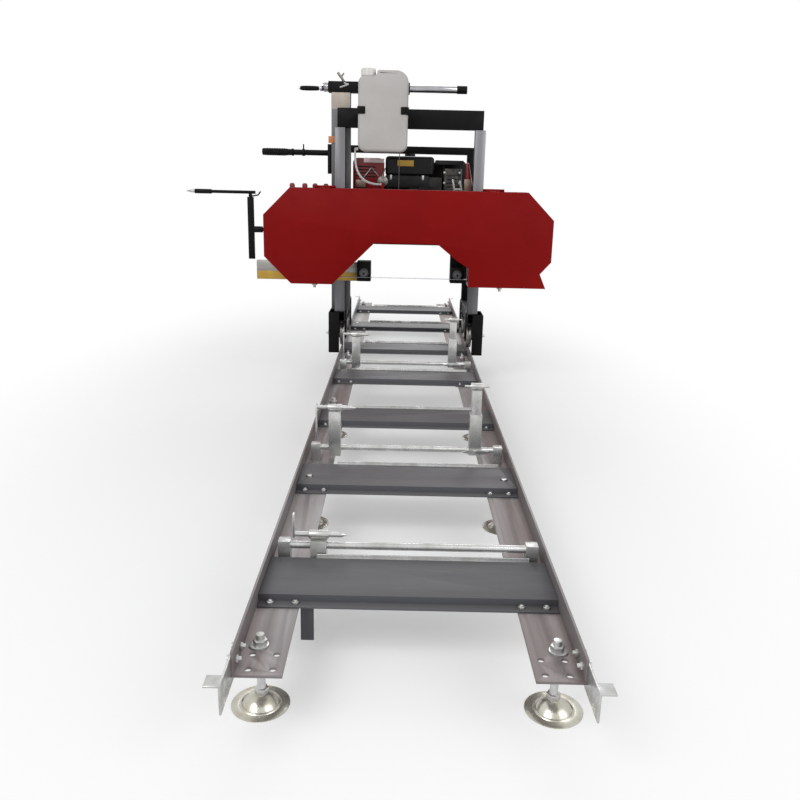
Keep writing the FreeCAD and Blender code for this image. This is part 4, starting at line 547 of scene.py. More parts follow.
def stacked(name: str, foot: Point, axis: Axis, rings: Iterable[tuple[float, float]],
            sides: int = 32) -> bpy.types.Object:
    """Turns a round piece: a disc that is extruded and resized ring by ring along an axis.

    Args:
        name: the new object's name.
        foot: the point on the axis where heights start.
        axis: the direction of the heights.
        rings: each ring's height and radius, in metres, in order.
        sides: how many sides the circle has.

    Returns:
        The piece, closed at both ends.
    """
    rings = list(rings)
    turn = Vector((0, 0, 1)).rotation_difference(axis.way)
    start = Vector(foot) + axis.way * rings[0][0]
    bpy.ops.mesh.primitive_circle_add(vertices=sides, radius=rings[0][1], fill_type="NGON", location=start,
                                      rotation=turn.to_euler())
    obj = settle(bpy.context.object)
    obj.name = name
    bpy.ops.object.mode_set(mode="EDIT")
    bpy.ops.mesh.select_all(action="SELECT")
    height, radius = rings[0]
    for next_height, next_radius in rings[1:]:
        rise = axis.way * (next_height - height)
        bpy.ops.mesh.extrude_region_move(TRANSFORM_OT_translate={"value": rise})
        ratio = next_radius / radius
        if abs(ratio - 1) > TINY:
            bpy.ops.transform.resize(value=(ratio, ratio, ratio),
                                     center_override=Vector(foot) + axis.way * next_height)
        height, radius = next_height, next_radius
    bpy.ops.mesh.select_all(action="SELECT")
    bpy.ops.mesh.normals_make_consistent(inside=False)
    bpy.ops.object.mode_set(mode="OBJECT")
    return obj


def bar(name: str, start: Point, end: Point, radius: float, sides: int = 20,
        tip: float = 1.0) -> bpy.types.Object:
    """Makes a straight bar between two points, round or square.

    Args:
        name: the new object's name.
        start: the middle of its first end.
        end: the middle of its other end.
        radius: the first end's radius.
        sides: how many sides it has.
        tip: the other end's radius as a share of the first.

    Returns:
        The bar, closed at both ends.
    """
    run = Vector(end) - Vector(start)
    turn = Vector((0, 0, 1)).rotation_difference(run)
    bpy.ops.mesh.primitive_circle_add(vertices=sides, radius=radius, fill_type="NGON", location=start,
                                      rotation=turn.to_euler())
    obj = settle(bpy.context.object)
    obj.name = name
    bpy.ops.object.mode_set(mode="EDIT")
    bpy.ops.mesh.select_all(action="SELECT")
    bpy.ops.mesh.extrude_region_move(TRANSFORM_OT_translate={"value": run})
    bpy.ops.transform.resize(value=(tip, tip, tip), center_override=end)
    bpy.ops.mesh.select_all(action="SELECT")
    bpy.ops.mesh.normals_make_consistent(inside=False)
    bpy.ops.object.mode_set(mode="OBJECT")
    return obj


def softened(obj: bpy.types.Object, width: float, segments: int,
             test: Callable[[Vector, Vector], bool]) -> None:
    """Rounds the edges that pass a test.

    Args:
        obj: the object.
        width: the bevel's width in metres.
        segments: how many steps it has.
        test: takes an edge's middle and its direction.
    """
    only(obj)
    bpy.ops.object.mode_set(mode="EDIT")
    bpy.ops.mesh.select_mode(type="EDGE")
    bpy.ops.mesh.select_all(action="DESELECT")
    bpy.ops.object.mode_set(mode="OBJECT")
    points = obj.data.vertices
    for edge in obj.data.edges:
        first, second = (points[index].co for index in edge.vertices)
        edge.select = test((first + second) / 2, (second - first).normalized())
    bpy.ops.object.mode_set(mode="EDIT")
    bpy.ops.mesh.bevel(offset=width, segments=segments, affect="EDGES")
    bpy.ops.object.mode_set(mode="OBJECT")


def copied(obj: bpy.types.Object, name: str, offset: Point) -> bpy.types.Object:
    """Copies an object with its own mesh, moved by an offset.

    Args:
        obj: what is copied.
        name: the copy's name.
        offset: how far it moves.

    Returns:
        The copy.
    """
    twin = bpy.data.objects.new(name, obj.data.copy())
    bpy.context.scene.collection.objects.link(twin)
    twin.location = offset
    return settle(twin)


def joined(name: str, pieces: list[bpy.types.Object]) -> bpy.types.Object:
    """Joins objects into one.

    Args:
        name: the joined object's name.
        pieces: the objects.

    Returns:
        The joined object.
    """
    bpy.ops.object.select_all(action="DESELECT")
    for piece in pieces:
        piece.select_set(True)
    bpy.context.view_layer.objects.active = pieces[0]
    bpy.ops.object.join()
    pieces[0].name = name
    return pieces[0]


def repainted(obj: bpy.types.Object, paint: Paint, test: Callable[[Vector, Vector], bool]) -> int:
    """Gives some faces of a finished piece a second finish.

    Args:
        obj: the piece.
        paint: the second finish.
        test: takes a face's middle and its normal.

    Returns:
        How many faces have it.
    """
    obj.data.materials.append(material_of(paint))
    last = len(obj.data.materials) - 1
    count = 0
    for polygon in obj.data.polygons:
        if test(polygon.center, polygon.normal):
            polygon.material_index = last
            count += 1
    LOG.info("%s: %d faces in %s", obj.name, count, paint.value.name)
    return count


@dataclass
class Assembly:
    """What every sub-assembly has: the frame, the body that it rides on, and ways to dress its nodes."""

    frame: dict
    made: list[str] = field(default_factory=list, init=False)

    def ride(self, obj: bpy.types.Object, body: str, paint: Paint, slot: str,
             *nodes: str) -> bpy.types.Object:
        """Finishes a piece: its material, its body, its slot and the nodes that it stands for.

        Args:
            obj: the piece.
            body: the body that it moves with.
            paint: its finish.
            slot: the record's material slot; not used.
            nodes: the nodes that it stands for.

        Returns:
            The piece.
        """
        obj.data.materials.clear()
        obj.data.materials.append(material_of(paint))
        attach(obj, body)
        if nodes:
            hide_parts(*nodes)
        self.made.append(obj.name)
        LOG.info("%s: %s on %s", type(self).__name__, obj.name, body)
        return obj

    def dressed(self, node: str, paint: Paint, width: float = 0.0,
                segments: int = 2) -> bpy.types.Object:
        """Dresses a copy of a node with rounded edges, smooth shading and its finish.

        Args:
            node: the node's name.
            paint: its finish.
            width: how far its sharp edges are rounded, in metres.
            segments: how many steps the rounding has.

        Returns:
            The dressed copy.
        """
        source = self.frame["nodes"][node]
        obj = bpy.data.objects.new(f"{node}.dressed", source.data.copy())
        bpy.context.scene.collection.objects.link(obj)
        only(obj)
        bpy.ops.object.mode_set(mode="EDIT")
        bpy.ops.mesh.select_all(action="SELECT")
        bpy.ops.mesh.remove_doubles(threshold=MERGE_GAP)
        bpy.ops.mesh.dissolve_limited(angle_limit=math.radians(FLAT_DEGREES))
        bpy.ops.object.mode_set(mode="OBJECT")
        bevelled(obj, width, segments)
        record = self.frame["record"]
        slots = {part["node"]: part["material_slot"] for part in record["subparts"]}
        return self.ride(obj, source["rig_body"], paint, slots[node], node)

    def added(self, obj: bpy.types.Object, body: str, paint: Paint, slot: str,
              width: float = 0.0) -> bpy.types.Object:
        """Rounds a small extra piece and finishes it."""
        return self.ride(bevelled(obj, width), body, paint, slot)

    def several(self, paint: Paint, width: float, nodes: Iterable[str]) -> None:
        """Dresses several nodes alike."""
        for node in nodes:
            self.dressed(node, paint, width)


@dataclass
class Track(Assembly):
    """The rails, planks, levelling feet, end stops and bolts."""

    edge: float = 0.0012
    plank_top: float = 0.1845
    flange_top: float = 0.158
    pad_radius: float = 0.070
    pad_rows: int = 6
    pad_sides: int = 48
    pad_rings: Rings = (
        (0.0, 0.0695), (0.0022, 0.0698), (0.0034, 0.0675), (0.0034, 0.050), (0.0062, 0.0475),
        (0.0068, 0.0455), (0.0055, 0.0435), (0.0125, 0.0385), (0.0190, 0.0315), (0.0242, 0.0225),
        (0.0268, 0.0140), (0.0272, 0.0125), (0.0300, 0.0115))
    washer_rings: Rings = ((0.0, 0.0225), (0.0035, 0.0225), (0.0038, 0.0215))
    washer_sides: int = 36
    washer_seat: float = 0.0005

    def _pads(self) -> None:
        """Makes the pressed pads, with a flat rim, a ridge and a dome, and the first pair's washers."""
        low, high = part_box("foot_pads")
        near = low.y + self.pad_radius
        run = (high.y - self.pad_radius - near) / (self.pad_rows - 1)
        left, right = low.x + self.pad_radius, high.x - self.pad_radius
        pad = stacked("foot_pad", (left, near, 0.0), Axis.Z, self.pad_rings, self.pad_sides)
        first = bevelled(pad, 0.0, angle=38)
        pads = [first] + [copied(first, f"foot_pad_{row}_{x:.1f}", (x - left, run * row, 0.0))
                          for row in range(self.pad_rows) for x in (left, right) if row or x != left]
        self.ride(joined("foot_pads.pressed", pads), "track", Paint.FOOT, "zinc", "foot_pads")
        for side, x in (("left", left), ("right", right)):
            washer = stacked(f"foot_washer_{side}", (x, near, self.flange_top - self.washer_seat), Axis.Z,
                             self.washer_rings, self.washer_sides)
            self.added(washer, "track", Paint.ZINC, "zinc")

    def build(self) -> None:
        """Dresses the whole track."""
        self.several(Paint.ROLLED, self.edge, ["rail_left", "rail_right"])
        planks = self.dressed("bed_planks", Paint.SLATE, self.edge)
        repainted(planks, Paint.ZINC, lambda middle, normal: middle.z > self.plank_top)
        self._pads()
        self.several(Paint.ZINC, self.edge, ["end_stops"])
        self.several(Paint.ZINC, self.edge / 2, ["foot_studs", "frame_bolts"])


@dataclass
class Clamps(Assembly):
    """The log stops and the sliding clamps."""

    edge: float = 0.0014

    def build(self) -> None:
        """Dresses the stops and clamps."""
        nodes = ["clamp_rods", "stop_posts"] + [f"stop_dog_{n}" for n in (1, 2, 3)]
        nodes += [f"clamp_{kind}_{n}" for n in (2, 3) for kind in ("base", "riser", "lever")]
        self.several(Paint.ZINC, self.edge, nodes)


@dataclass
class Carriage(Assembly):
    """The carriage's frame, its wheels, the mast and the posts."""

    plate_edge: float = 0.0015
    wheel_edge: float = 0.0012
    axle_edge: float = 0.0008
    cream_from: float = 1.58
    handle_plate: Ends = ((-0.2435, 0.655, 1.222), (-0.2205, 0.705, 1.388))
    pointer: Ends = ((-0.238, 0.6445, 1.394), (-0.198, 0.6503, 1.432))
    fittings_edge: float = 0.002
    fork_foot: Ends = ((-0.150, 0.680, 1.727), (-0.168, 0.680, 1.757))
    fork_upper: Ends = ((-0.168, 0.680, 1.754), (-0.187, 0.680, 1.779))
    fork_lower: Ends = ((-0.168, 0.680, 1.754), (-0.152, 0.680, 1.777))
    clip_long: Ends = ((-0.172, 0.647, 1.696), (-0.122, 0.647, 1.713))
    clip_short: Ends = ((-0.150, 0.647, 1.722), (-0.122, 0.647, 1.713))

    def build(self) -> None:
        """Dresses the carriage."""
        self.several(Paint.BLACK, self.plate_edge, ["side_frame_left", "side_frame_right", "wheel_shields"])
        self.several(Paint.BLACK, self.plate_edge, ["rear_frame", "top_beam", "hoist_beam"])
        for node, inward in (("guide_post_left", 1), ("guide_post_right", -1), ("lift_mast", 1)):
            post = self.dressed(node, Paint.GALVANISED, self.plate_edge)
            # Painted shade: on each post and on the mast, the side faces picked by the inward sign are
            # painted black, standing in for their shaded inner sides.
            repainted(post, Paint.BLACK, lambda middle, normal, way=inward: normal.x * way > FACING)
            if node == "lift_mast":
                only(post)
                bpy.ops.object.mode_set(mode="EDIT")
                bpy.ops.mesh.select_all(action="SELECT")
                bpy.ops.mesh.bisect(plane_co=(0, 0, self.cream_from), plane_no=(0, 0, 1))
                bpy.ops.object.mode_set(mode="OBJECT")
                repainted(post, Paint.CREAM, lambda middle, normal: middle.z > self.cream_from
                          and (normal.y < -FACING or normal.z > FACING))
        self._mast_fittings()
        for end in ("front", "rear"):
            for side in ("left", "right"):
                self.dressed(f"wheel_{end}_{side}", Paint.TURNED, self.wheel_edge)
        self.several(Paint.ZINC, self.axle_edge, ["wheel_axles"])

    def _mast_fittings(self) -> None:
        """Makes the push handle's plate, the height pointer, and the fork and clip on the hoist beam."""
        plate = box("handle_plate", *self.handle_plate)
        self.added(plate, "carriage", Paint.BLACK, "black_paint", self.fittings_edge)
        pointer = box("height_pointer", *self.pointer)
        self.added(pointer, "carriage", Paint.ORANGE, "cap_plastic", self.fittings_edge)
        fork = [bar("beam_fork.foot", *self.fork_foot, 0.008, 4),
                bar("beam_fork.upper", *self.fork_upper, 0.008, 4),
                bar("beam_fork.lower", *self.fork_lower, 0.005, 4)]
        self.added(joined("beam_fork", fork), "carriage", Paint.ALLOY, "black_paint", 0.001)
        clip = [bar("beam_clip.a", *self.clip_long, 0.005, 6),
                bar("beam_clip.b", *self.clip_short, 0.004, 6)]
        self.added(joined("beam_clip", clip), "carriage", Paint.ZINC, "black_paint")


@dataclass
class Hoist(Assembly):
    """The hoist shaft and its crank, the push handle and the throttle."""

    edge: float = 0.001
    grip_sides: int = 40
    grip_rings: int = 8
    dark_ring: tuple[float, float] = (0.494, 0.536)
    collar_foot: Point = (-0.238, 0.68, 1.70)
    collar_rings: Rings = ((0.0, 0.024), (0.003, 0.027), (0.026, 0.027), (0.029, 0.024))
    barrel_shares: Rings = (
        (0.0, 0.72), (0.03, 0.84), (0.12, 0.9), (0.3, 0.97), (0.5, 1.0), (0.7, 0.98), (0.88, 0.92),
        (0.96, 0.8), (1.0, 0.6))

    def build(self) -> None:
        """Dresses the hoist and the handles."""
        shaft = self.dressed("hoist_shaft", Paint.CHROME, self.edge)
        low, high = self.dark_ring
        repainted(shaft, Paint.BLACK, lambda middle, normal: low < middle.x < high)
        collar = stacked("hoist_collar", self.collar_foot, Axis.BACK_X, self.collar_rings, 36)
        self.added(collar, "hoist", Paint.CHROME, "shaft_chrome")
        self.several(Paint.BLACK, self.edge, ["throttle_lever", "push_handle"])
        self._push_grip()
        self._hoist_grip()

    def _push_grip(self) -> None:
        """Makes the flared rubber grip with rings round it."""
        low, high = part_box("push_grip")
        length = high.x - low.x
        radius = (high.z - low.z) / 2
        middle = (high.x, (low.y + high.y) / 2, (low.z + high.z) / 2)
        thick, neck = radius * 0.95, radius * 0.84
        rings = [(0.0, neck * 0.98), (0.004, radius), (0.010, radius), (0.015, neck), (length * 0.16, neck),
                 (length * 0.26, thick)]
        for index in range(self.grip_rings):
            along = length * (0.28 + 0.6 * index / self.grip_rings)
            rings += [(along, thick), (along + 0.002, radius), (along + 0.007, radius),
                      (along + 0.009, thick)]
        rings += [(length * 0.93, thick), (length * 0.98, thick * 0.96), (length - 0.0005, thick * 0.75)]
        grip = stacked("push_grip.rubber", middle, Axis.BACK_X, rings, self.grip_sides)
        bevelled(grip, 0.0, angle=40)
        self.ride(grip, "carriage", Paint.RUBBER, "grip_rubber", "push_grip")

    def _hoist_grip(self) -> None:
        """Makes the crank's barrel-shaped turning handle."""
        low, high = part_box("hoist_grip")
        length, radius = high.x - low.x, (high.z - low.z) / 2
        middle = (high.x, (low.y + high.y) / 2, (low.z + high.z) / 2)
        rings = [(length * along, radius * share) for along, share in self.barrel_shares]
        grip = stacked("hoist_grip.rubber", middle, Axis.BACK_X, rings, self.grip_sides)
        bevelled(grip, 0.0, angle=50)
        self.ride(grip, "hoist_grip", Paint.RUBBER, "grip_rubber", "hoist_grip")


@dataclass
class Water(Assembly):
    """The water tank with its cap, and the hose down to the guard."""

    route: tuple[Point, ...] = (
        (-0.0740, 0.4847, 1.3450), (-0.0740, 0.4847, 1.2931), (-0.0603, 0.4847, 1.2331),
        (-0.0214, 0.4847, 1.1870), (0.0358, 0.4847, 1.1690), (0.0770, 0.4847, 1.1690))
    hose_radius: float = 0.006
    hose_length: float = 0.272
    tank_low: Point = (-0.058, 0.447, 1.345)
    tank_high: Point = (0.218, 0.577, 1.745)
    shoulder: float = 0.068
    corner: float = 0.042
    step_at: float = 0.046
    step: float = 0.028
    step_round: float = 0.012
    face_round: float = 0.017
    seam_half: float = 0.0015
    seam_inset: float = 0.0003
    seam_depth: float = 0.0008
    neck_sunk: float = 0.004
    neck_rings: Rings = ((0.0, 0.040), (0.003, 0.0345), (0.015, 0.0335))
    boss_radius: float = 0.0075
    barb_radius: float = 0.0042
    cap_sides: int = 72
    rib_every: int = 3
    rope_steps: int = 16

    def build(self) -> None:
        """Dresses the tank, the cap, the hose and the hoist's wire rope."""
        self._tank()
        self._cap()
        self._hose()
        self._rope()

    def _tank(self) -> None:
        """Makes the blow-moulded tank with its raised right part, its seam, a neck and a hose barb."""
        low, high = self.tank_low, self.tank_high
        body = box("water_tank.body", low, high)
        only(body)
        bpy.ops.object.mode_set(mode="EDIT")
        bpy.ops.mesh.select_all(action="SELECT")
        bpy.ops.mesh.bisect(plane_co=(self.step_at, 0, 0), plane_no=(1, 0, 0))
        select_where(body, lambda middle, normal: normal.z > FACING and middle.x > self.step_at)
        bpy.ops.mesh.extrude_region_move(TRANSFORM_OT_translate={"value": (0, 0, self.step)})
        bpy.ops.mesh.select_all(action="SELECT")
        bpy.ops.mesh.dissolve_limited(angle_limit=math.radians(1))
        bpy.ops.object.mode_set(mode="OBJECT")
        top = high[2] + self.step
        softened(body, self.step_round, 4, lambda middle, way: abs(way.y) > FACING
                 and abs(middle.x - self.step_at) < TINY and middle.z > high[2] - TINY)
        softened(body, self.shoulder, 12, lambda middle, way: abs(way.y) > FACING
                 and middle.x > high[0] - TINY and middle.z > top - TINY)
        softened(body, self.corner, 8, lambda middle, way: abs(way.y) > FACING and (
            middle.z < low[2] + TINY or (middle.x < low[0] + TINY and middle.z > high[2] - TINY)))
        softened(body, self.face_round, 5, lambda middle, way: abs(way.y) < 0.1
                 and not low[1] + TINY < middle.y < high[1] - TINY)
        only(body)
        bpy.ops.object.mode_set(mode="EDIT")
        half = (low[1] + high[1]) / 2
        bpy.ops.mesh.select_all(action="SELECT")
        bpy.ops.mesh.bisect(plane_co=(0, half - self.seam_half, 0), plane_no=(0, 1, 0))
        bpy.ops.mesh.select_all(action="SELECT")
        bpy.ops.mesh.bisect(plane_co=(0, half + self.seam_half, 0), plane_no=(0, 1, 0))
        count = select_where(body, lambda middle, normal: abs(middle.y - half) < 0.001)
        if count:
            bpy.ops.mesh.inset(thickness=self.seam_inset, depth=-self.seam_depth)
        bpy.ops.object.mode_set(mode="OBJECT")
        cap_low, cap_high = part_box("tank_cap")
        foot = ((cap_low.x + cap_high.x) / 2, (cap_low.y + cap_high.y) / 2, high[2] - self.neck_sunk)
        neck = stacked("water_tank.neck", foot, Axis.Z, self.neck_rings, 40)
        start = Vector(self.route[0])
        boss = bar("water_tank.boss", (low[0] + 0.002, start.y, start.z + 0.014),
                   (start.x - 0.001, start.y, start.z + 0.014), self.boss_radius, 16)
        barb = bar("water_tank.barb", (start.x, start.y, start.z + 0.019),
                   (start.x, start.y, start.z - 0.02), self.barb_radius, 16)
        tank = bevelled(joined("water_tank.shell", [body, neck, boss, barb]), 0.0, angle=30)
        self.ride(tank, "carriage", Paint.TANK, "tank_plastic", "water_tank")

    def _cap(self) -> None:
        """Makes the screw cap with a ribbed rim."""
        low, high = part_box("tank_cap")
        radius, height = (high.x - low.x) / 2, high.z - low.z
        foot = ((low.x + high.x) / 2, (low.y + high.y) / 2, low.z)
        rings = [(0.0, radius * 0.99), (height * 0.82, radius * 0.985), (height * 0.93, radius * 0.95),
                 (height, radius * 0.86), (height * 0.9, radius * 0.78), (height * 0.88, radius * 0.3)]
        cap = stacked("tank_cap.ribbed", foot, Axis.Z, rings, self.cap_sides)
        only(cap)
        bpy.ops.object.mode_set(mode="EDIT")

        def on_rib(middle: Vector, normal: Vector) -> bool:
            """Tells whether a face lies in one of the rim's grooves.

            Args:
                middle: the face's middle.
                normal: its normal.

            Returns:
                True for such a face.
            """
            turn = math.atan2(middle.y - foot[1], middle.x - foot[0]) / math.tau
            rim = abs(normal.z) < 0.3 and middle.z < low.z + height * 0.8
            return rim and int(round(turn * self.cap_sides)) % self.rib_every == 0

        select_where(cap, on_rib)
        bpy.ops.mesh.inset(thickness=0.0006, depth=-0.0012, use_individual=True)
        bpy.ops.object.mode_set(mode="OBJECT")
        bevelled(cap, 0.0, angle=40)
        self.ride(cap, "tank_cap", Paint.CAP, "cap_plastic", "tank_cap")

    def _curve(self, name: str, bevel: float) -> bpy.types.Object:
        """Makes a smooth line along the hose's route.

        Args:
            name: the curve's name.
            bevel: the tube's radius, or nothing for a bare line.

        Returns:
            The curve object.
        """
        data = bpy.data.curves.new(name, "CURVE")
        data.dimensions = "3D"
        data.resolution_u = 12
        data.bevel_depth = bevel
        data.bevel_resolution = 6
        data.use_fill_caps = True
        spline = data.splines.new("NURBS")
        spline.points.add(len(self.route) - 1)
        for point, place in zip(spline.points, self.route):
            point.co = (*place, 1.0)
        spline.order_u = 3
        spline.use_endpoint_u = True
        curve = bpy.data.objects.new(name, data)
        bpy.context.scene.collection.objects.link(curve)
        return curve

    def _hose(self) -> None:
        """Makes the clear hose between the carriage and the head."""
        line = self._curve("hose_line", 0.0)
        bare = bpy.data.meshes.new_from_object(line)
        bpy.data.objects.remove(line)
        bpy.data.meshes.remove(bare)
        curve = self._curve("water_hose.tube", self.hose_radius)
        only(curve)
        bpy.ops.object.convert(target="MESH")
        hose = bpy.context.object
        bevelled(hose, 0.0, angle=50)
        hose.data.materials.clear()
        hose.data.materials.append(material_of(Paint.HOSE))
        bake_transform(hose)
        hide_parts("water_hose")
        self.made.append(hose.name)

    def _rope(self) -> None:
        """Makes the hoist's wire rope between the carriage and the head."""
        low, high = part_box("lift_cable")
        radius = (high.x - low.x) / 2
        foot = ((low.x + high.x) / 2, (low.y + high.y) / 2, low.z)
        rings = [((high.z - low.z) * index / self.rope_steps, radius * 0.98)
                 for index in range(self.rope_steps + 1)]
        rope = bevelled(stacked("lift_cable.rope", foot, Axis.Z, rings, 10), 0.0)
        rope.data.materials.append(material_of(Paint.WIRE))
        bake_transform(rope)
        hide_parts("lift_cable")
        self.made.append(rope.name)


@dataclass
class Head(Assembly):
    """The saw head: its guards, band wheels, blade, guides and tension crank."""

    sheet_edge: float = 0.0016
    latches: tuple[float, ...] = (-0.296, 0.764)
    latch_half: float = 0.022
    lobe_bottom: float = 0.6147
    tip_end: float = -0.985
    turned_edge: float = 0.001
    roller_edge: float = 0.0006
    crank_edge: float = 0.0012
    crank_clip: tuple[Ends, ...] = (
        ((-0.668, 0.535, 1.089), (-0.632, 0.535, 1.096)), ((-0.634, 0.535, 1.094), (-0.618, 0.535, 1.116)))
    bolt_foot: Point = (-0.425, 0.452, 1.136)
    bolt_rings: Rings = ((0.0, 0.014), (0.020, 0.0155), (0.027, 0.013), (0.032, 0.008))
    bolt_offsets: tuple[float, ...] = (0.071, 0.129, 0.190)
    strip_margin: float = 0.004
    strip_high: float = 0.049

    def _on_latch(self, middle: Vector, normal: Vector) -> bool:
        """Tells whether a face of the cover belongs to a latch bolt."""
        near = any(abs(middle.x - place) < self.latch_half for place in self.latches)
        return middle.z < self.lobe_bottom and near

    def build(self) -> None:
        """Dresses the head."""
        cover = self.dressed("front_cover", Paint.RED, self.sheet_edge)
        repainted(cover, Paint.ZINC, self._on_latch)
        self.several(Paint.RED, self.sheet_edge, ["rear_guard"])
        self.several(Paint.BLACK, self.sheet_edge, ["head_beam"])
        self.several(Paint.CAST, self.turned_edge, ["drive_wheel", "idler_wheel"])
        self.several(Paint.BLACK, self.turned_edge, ["engine_pulley"])
        self.several(Paint.TURNED, self.turned_edge, ["idler_slide"])
        self.several(Paint.BLACK, self.turned_edge, ["guide_block_left", "guide_block_right"])
        self.several(Paint.CAST, self.roller_edge, ["guide_roller_left", "guide_roller_right"])
        crank = self.dressed("tension_crank", Paint.BLACK, self.crank_edge)
        repainted(crank, Paint.CHROME, lambda middle, normal: middle.x < self.tip_end)
        clip = [bar(f"crank_clip.{n}", *ends, 0.004, 8) for n, ends in zip("ab", self.crank_clip)]
        self.added(joined("crank_clip", clip), "tension_crank", Paint.BLACK, "black_paint")
        self.several(Paint.BLADE, 0.0, ["blade"])
        self.several(Paint.ARM, self.turned_edge, ["guide_arm"])
        self.several(Paint.RUBBER, self.roller_edge, ["drive_belt"])
        self._scale_strip()
        self._guard_bolts()

    def _guard_bolts(self) -> None:
        """Makes four small round heads along the top of the rear guard, left of the hinge."""
        first = stacked("guard_bolt_1", self.bolt_foot, Axis.Z, self.bolt_rings, 16)
        heads = [first] + [copied(first, f"guard_bolt_{number}", (offset, 0, 0))
                           for number, offset in enumerate(self.bolt_offsets, 2)]
        for head in heads:
            self.added(head, "head", Paint.ENGINE_RED, "cover_paint")

    def _scale_strip(self) -> None:
        """Makes the yellow strip along the lower part of the guide arm."""
        low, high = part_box("guide_arm")
        strip = box("guide_arm.strip", (low.x + self.strip_margin, low.y - 0.0012, low.z + 0.002),
                    (high.x - self.strip_margin, low.y + 0.002, low.z + self.strip_high))
        self.ride(bevelled(strip, 0.0005), "guide_arm", Paint.YELLOW, "arm_paint")


@dataclass
class Engine(Assembly):
    """The small engine that drives the head. Two places are a block's opposite corners or a bar's ends."""

    edge: float = 0.003
    sheet_edge: float = 0.0008
    plate_edge: float = 0.001
    corner_from: float = 1.3
    corner_round: float = 0.03
    starter: Ends = ((-0.100, 0.728, 1.120), (0.086, 0.752, 1.318))
    starter_plate: Ends = ((-0.036, 0.7255, 1.291), (0.084, 0.7285, 1.315))
    bowl_foot: Point = (0.077, 0.727, 1.186)
    bowl_rings: Rings = (
        (0.0, 0.031), (0.010, 0.031), (0.011, 0.022), (0.024, 0.021), (0.025, 0.010), (0.032, 0.009))
    pipe_clamp: Ends = ((-0.084, 0.716, 1.148), (-0.022, 0.728, 1.192))
    rib: Ends = ((-0.088, 0.7275, 1.216), (0.034, 0.7275, 1.212))
    rib_step: float = 0.018
    rib_count: int = 4
    rib_radius: float = 0.0035
    pipes: tuple[tuple[Ends, float], ...] = (
        (((0.052, 0.722, 1.215), (0.010, 0.721, 1.262)), 0.004),
        (((0.010, 0.721, 1.262), (-0.044, 0.722, 1.194)), 0.004),
        (((0.072, 0.722, 1.205), (0.092, 0.722, 1.262)), 0.0035))
    filter: Ends = ((0.092, 0.724, 1.150), (0.352, 0.900, 1.222))
    filter_edge: float = 0.006
    tank_plate: Ends = ((0.163, 0.7305, 1.275), (0.259, 0.7342, 1.309))
    leg_width: float = 0.012
    clips_at: tuple[float, ...] = (0.12, 0.31)
    cylinder: Ends = ((0.385, 0.900, 1.090), (0.585, 0.985, 1.316))
    shield_top: Ends = ((0.392, 0.752, 1.306), (0.556, 0.905, 1.314))
    shield_front: Ends = ((0.392, 0.752, 1.288), (0.556, 0.756, 1.314))
    shield_legs: tuple[float, ...] = (0.435, 0.53)
    bolt_places: Rings = ((0.444, 1.245), (0.444, 1.185), (0.534, 1.245), (0.534, 1.185))
    bolt_front: float = 0.7475
    bolt_rings: Rings = ((0.0, 0.007), (0.005, 0.0065))
    clutch_handle: Ends = ((0.588, 0.660, 1.150), (0.571, 0.655, 1.300))
    clutch_post: Ends = ((0.556, 0.632, 1.085), (0.597, 0.644, 1.208))
    bracket: tuple[tuple[str, Ends, float], ...] = (
        ("a", ((0.486, 0.600, 1.206), (0.506, 0.600, 1.100)), 0.007),
        ("b", ((0.528, 0.600, 1.200), (0.550, 0.600, 1.100)), 0.007),
        ("c", ((0.500, 0.600, 1.150), (0.540, 0.600, 1.150)), 0.006))

    def build(self) -> None:
        """Dresses the engine."""
        self.several(Paint.ENGINE, self.edge, ["engine_block"])
        self.several(Paint.ENGINE_RED, self.edge * 2, ["engine_shroud"])
        self.several(Paint.FUEL, 0.0, ["fuel_tank"])
        self.several(Paint.MUFFLER, self.sheet_edge, ["muffler"])
        self._left_side()
        self._middle()
        self._right_side()

    def _top_edge(self, middle: Vector, way: Vector) -> bool:
        """Tells whether an edge is one of a housing's upper ones that run from front to back."""
        return abs(way.y) > FACING and middle.z > self.corner_from

    def _left_side(self) -> None:
        """Makes the starter housing with its blank plate and ribs, the carburettor and its pipes."""
        housing = box("starter_housing", *self.starter)
        softened(housing, self.corner_round, 5, self._top_edge)
        self.added(housing, "head", Paint.ENGINE_RED, "shroud_red", self.edge)
        plate = box("starter_plate", *self.starter_plate)
        self.added(plate, "head", Paint.BLANK, "cap_plastic", self.plate_edge)
        bowl = stacked("carburettor", self.bowl_foot, Axis.BACK_Y, self.bowl_rings, 24)
        self.added(bowl, "head", Paint.ALLOY, "muffler_metal", self.sheet_edge)
        clamp = box("pipe_clamp", *self.pipe_clamp)
        self.added(clamp, "head", Paint.BRONZE, "muffler_metal", 0.004)
        start, end = self.rib
        ribs = [bar(f"housing_rib_{n}", (start[0], start[1], start[2] + self.rib_step * n),
                    (end[0], end[1], end[2] + self.rib_step * n), self.rib_radius, 8)
                for n in range(self.rib_count)]
        self.added(joined("housing_ribs", ribs), "head", Paint.ENGINE, "engine_metal")
        pipes = [bar(f"fuel_pipe_{n}", *ends, radius, 10) for n, (ends, radius) in enumerate(self.pipes, 1)]
        self.added(joined("fuel_pipes", pipes), "head", Paint.ALLOY, "muffler_metal")

    def _middle(self) -> None:
        """Makes the filter housing under the fuel tank, its clips, and the bare plate on the tank."""
        housing = box("filter_housing", *self.filter)
        self.added(housing, "head", Paint.ENGINE, "engine_metal", self.filter_edge)
        plate = box("tank_plate", *self.tank_plate)
        self.added(plate, "head", Paint.YELLOW, "cap_plastic", self.plate_edge)
        clips = [box(f"filter_clip_{n}", (x, 0.7205, 1.196), (x + self.leg_width, 0.7242, 1.224))
                 for n, x in enumerate(self.clips_at)]
        self.added(joined("filter_clips", clips), "head", Paint.ZINC, "muffler_metal", self.plate_edge)

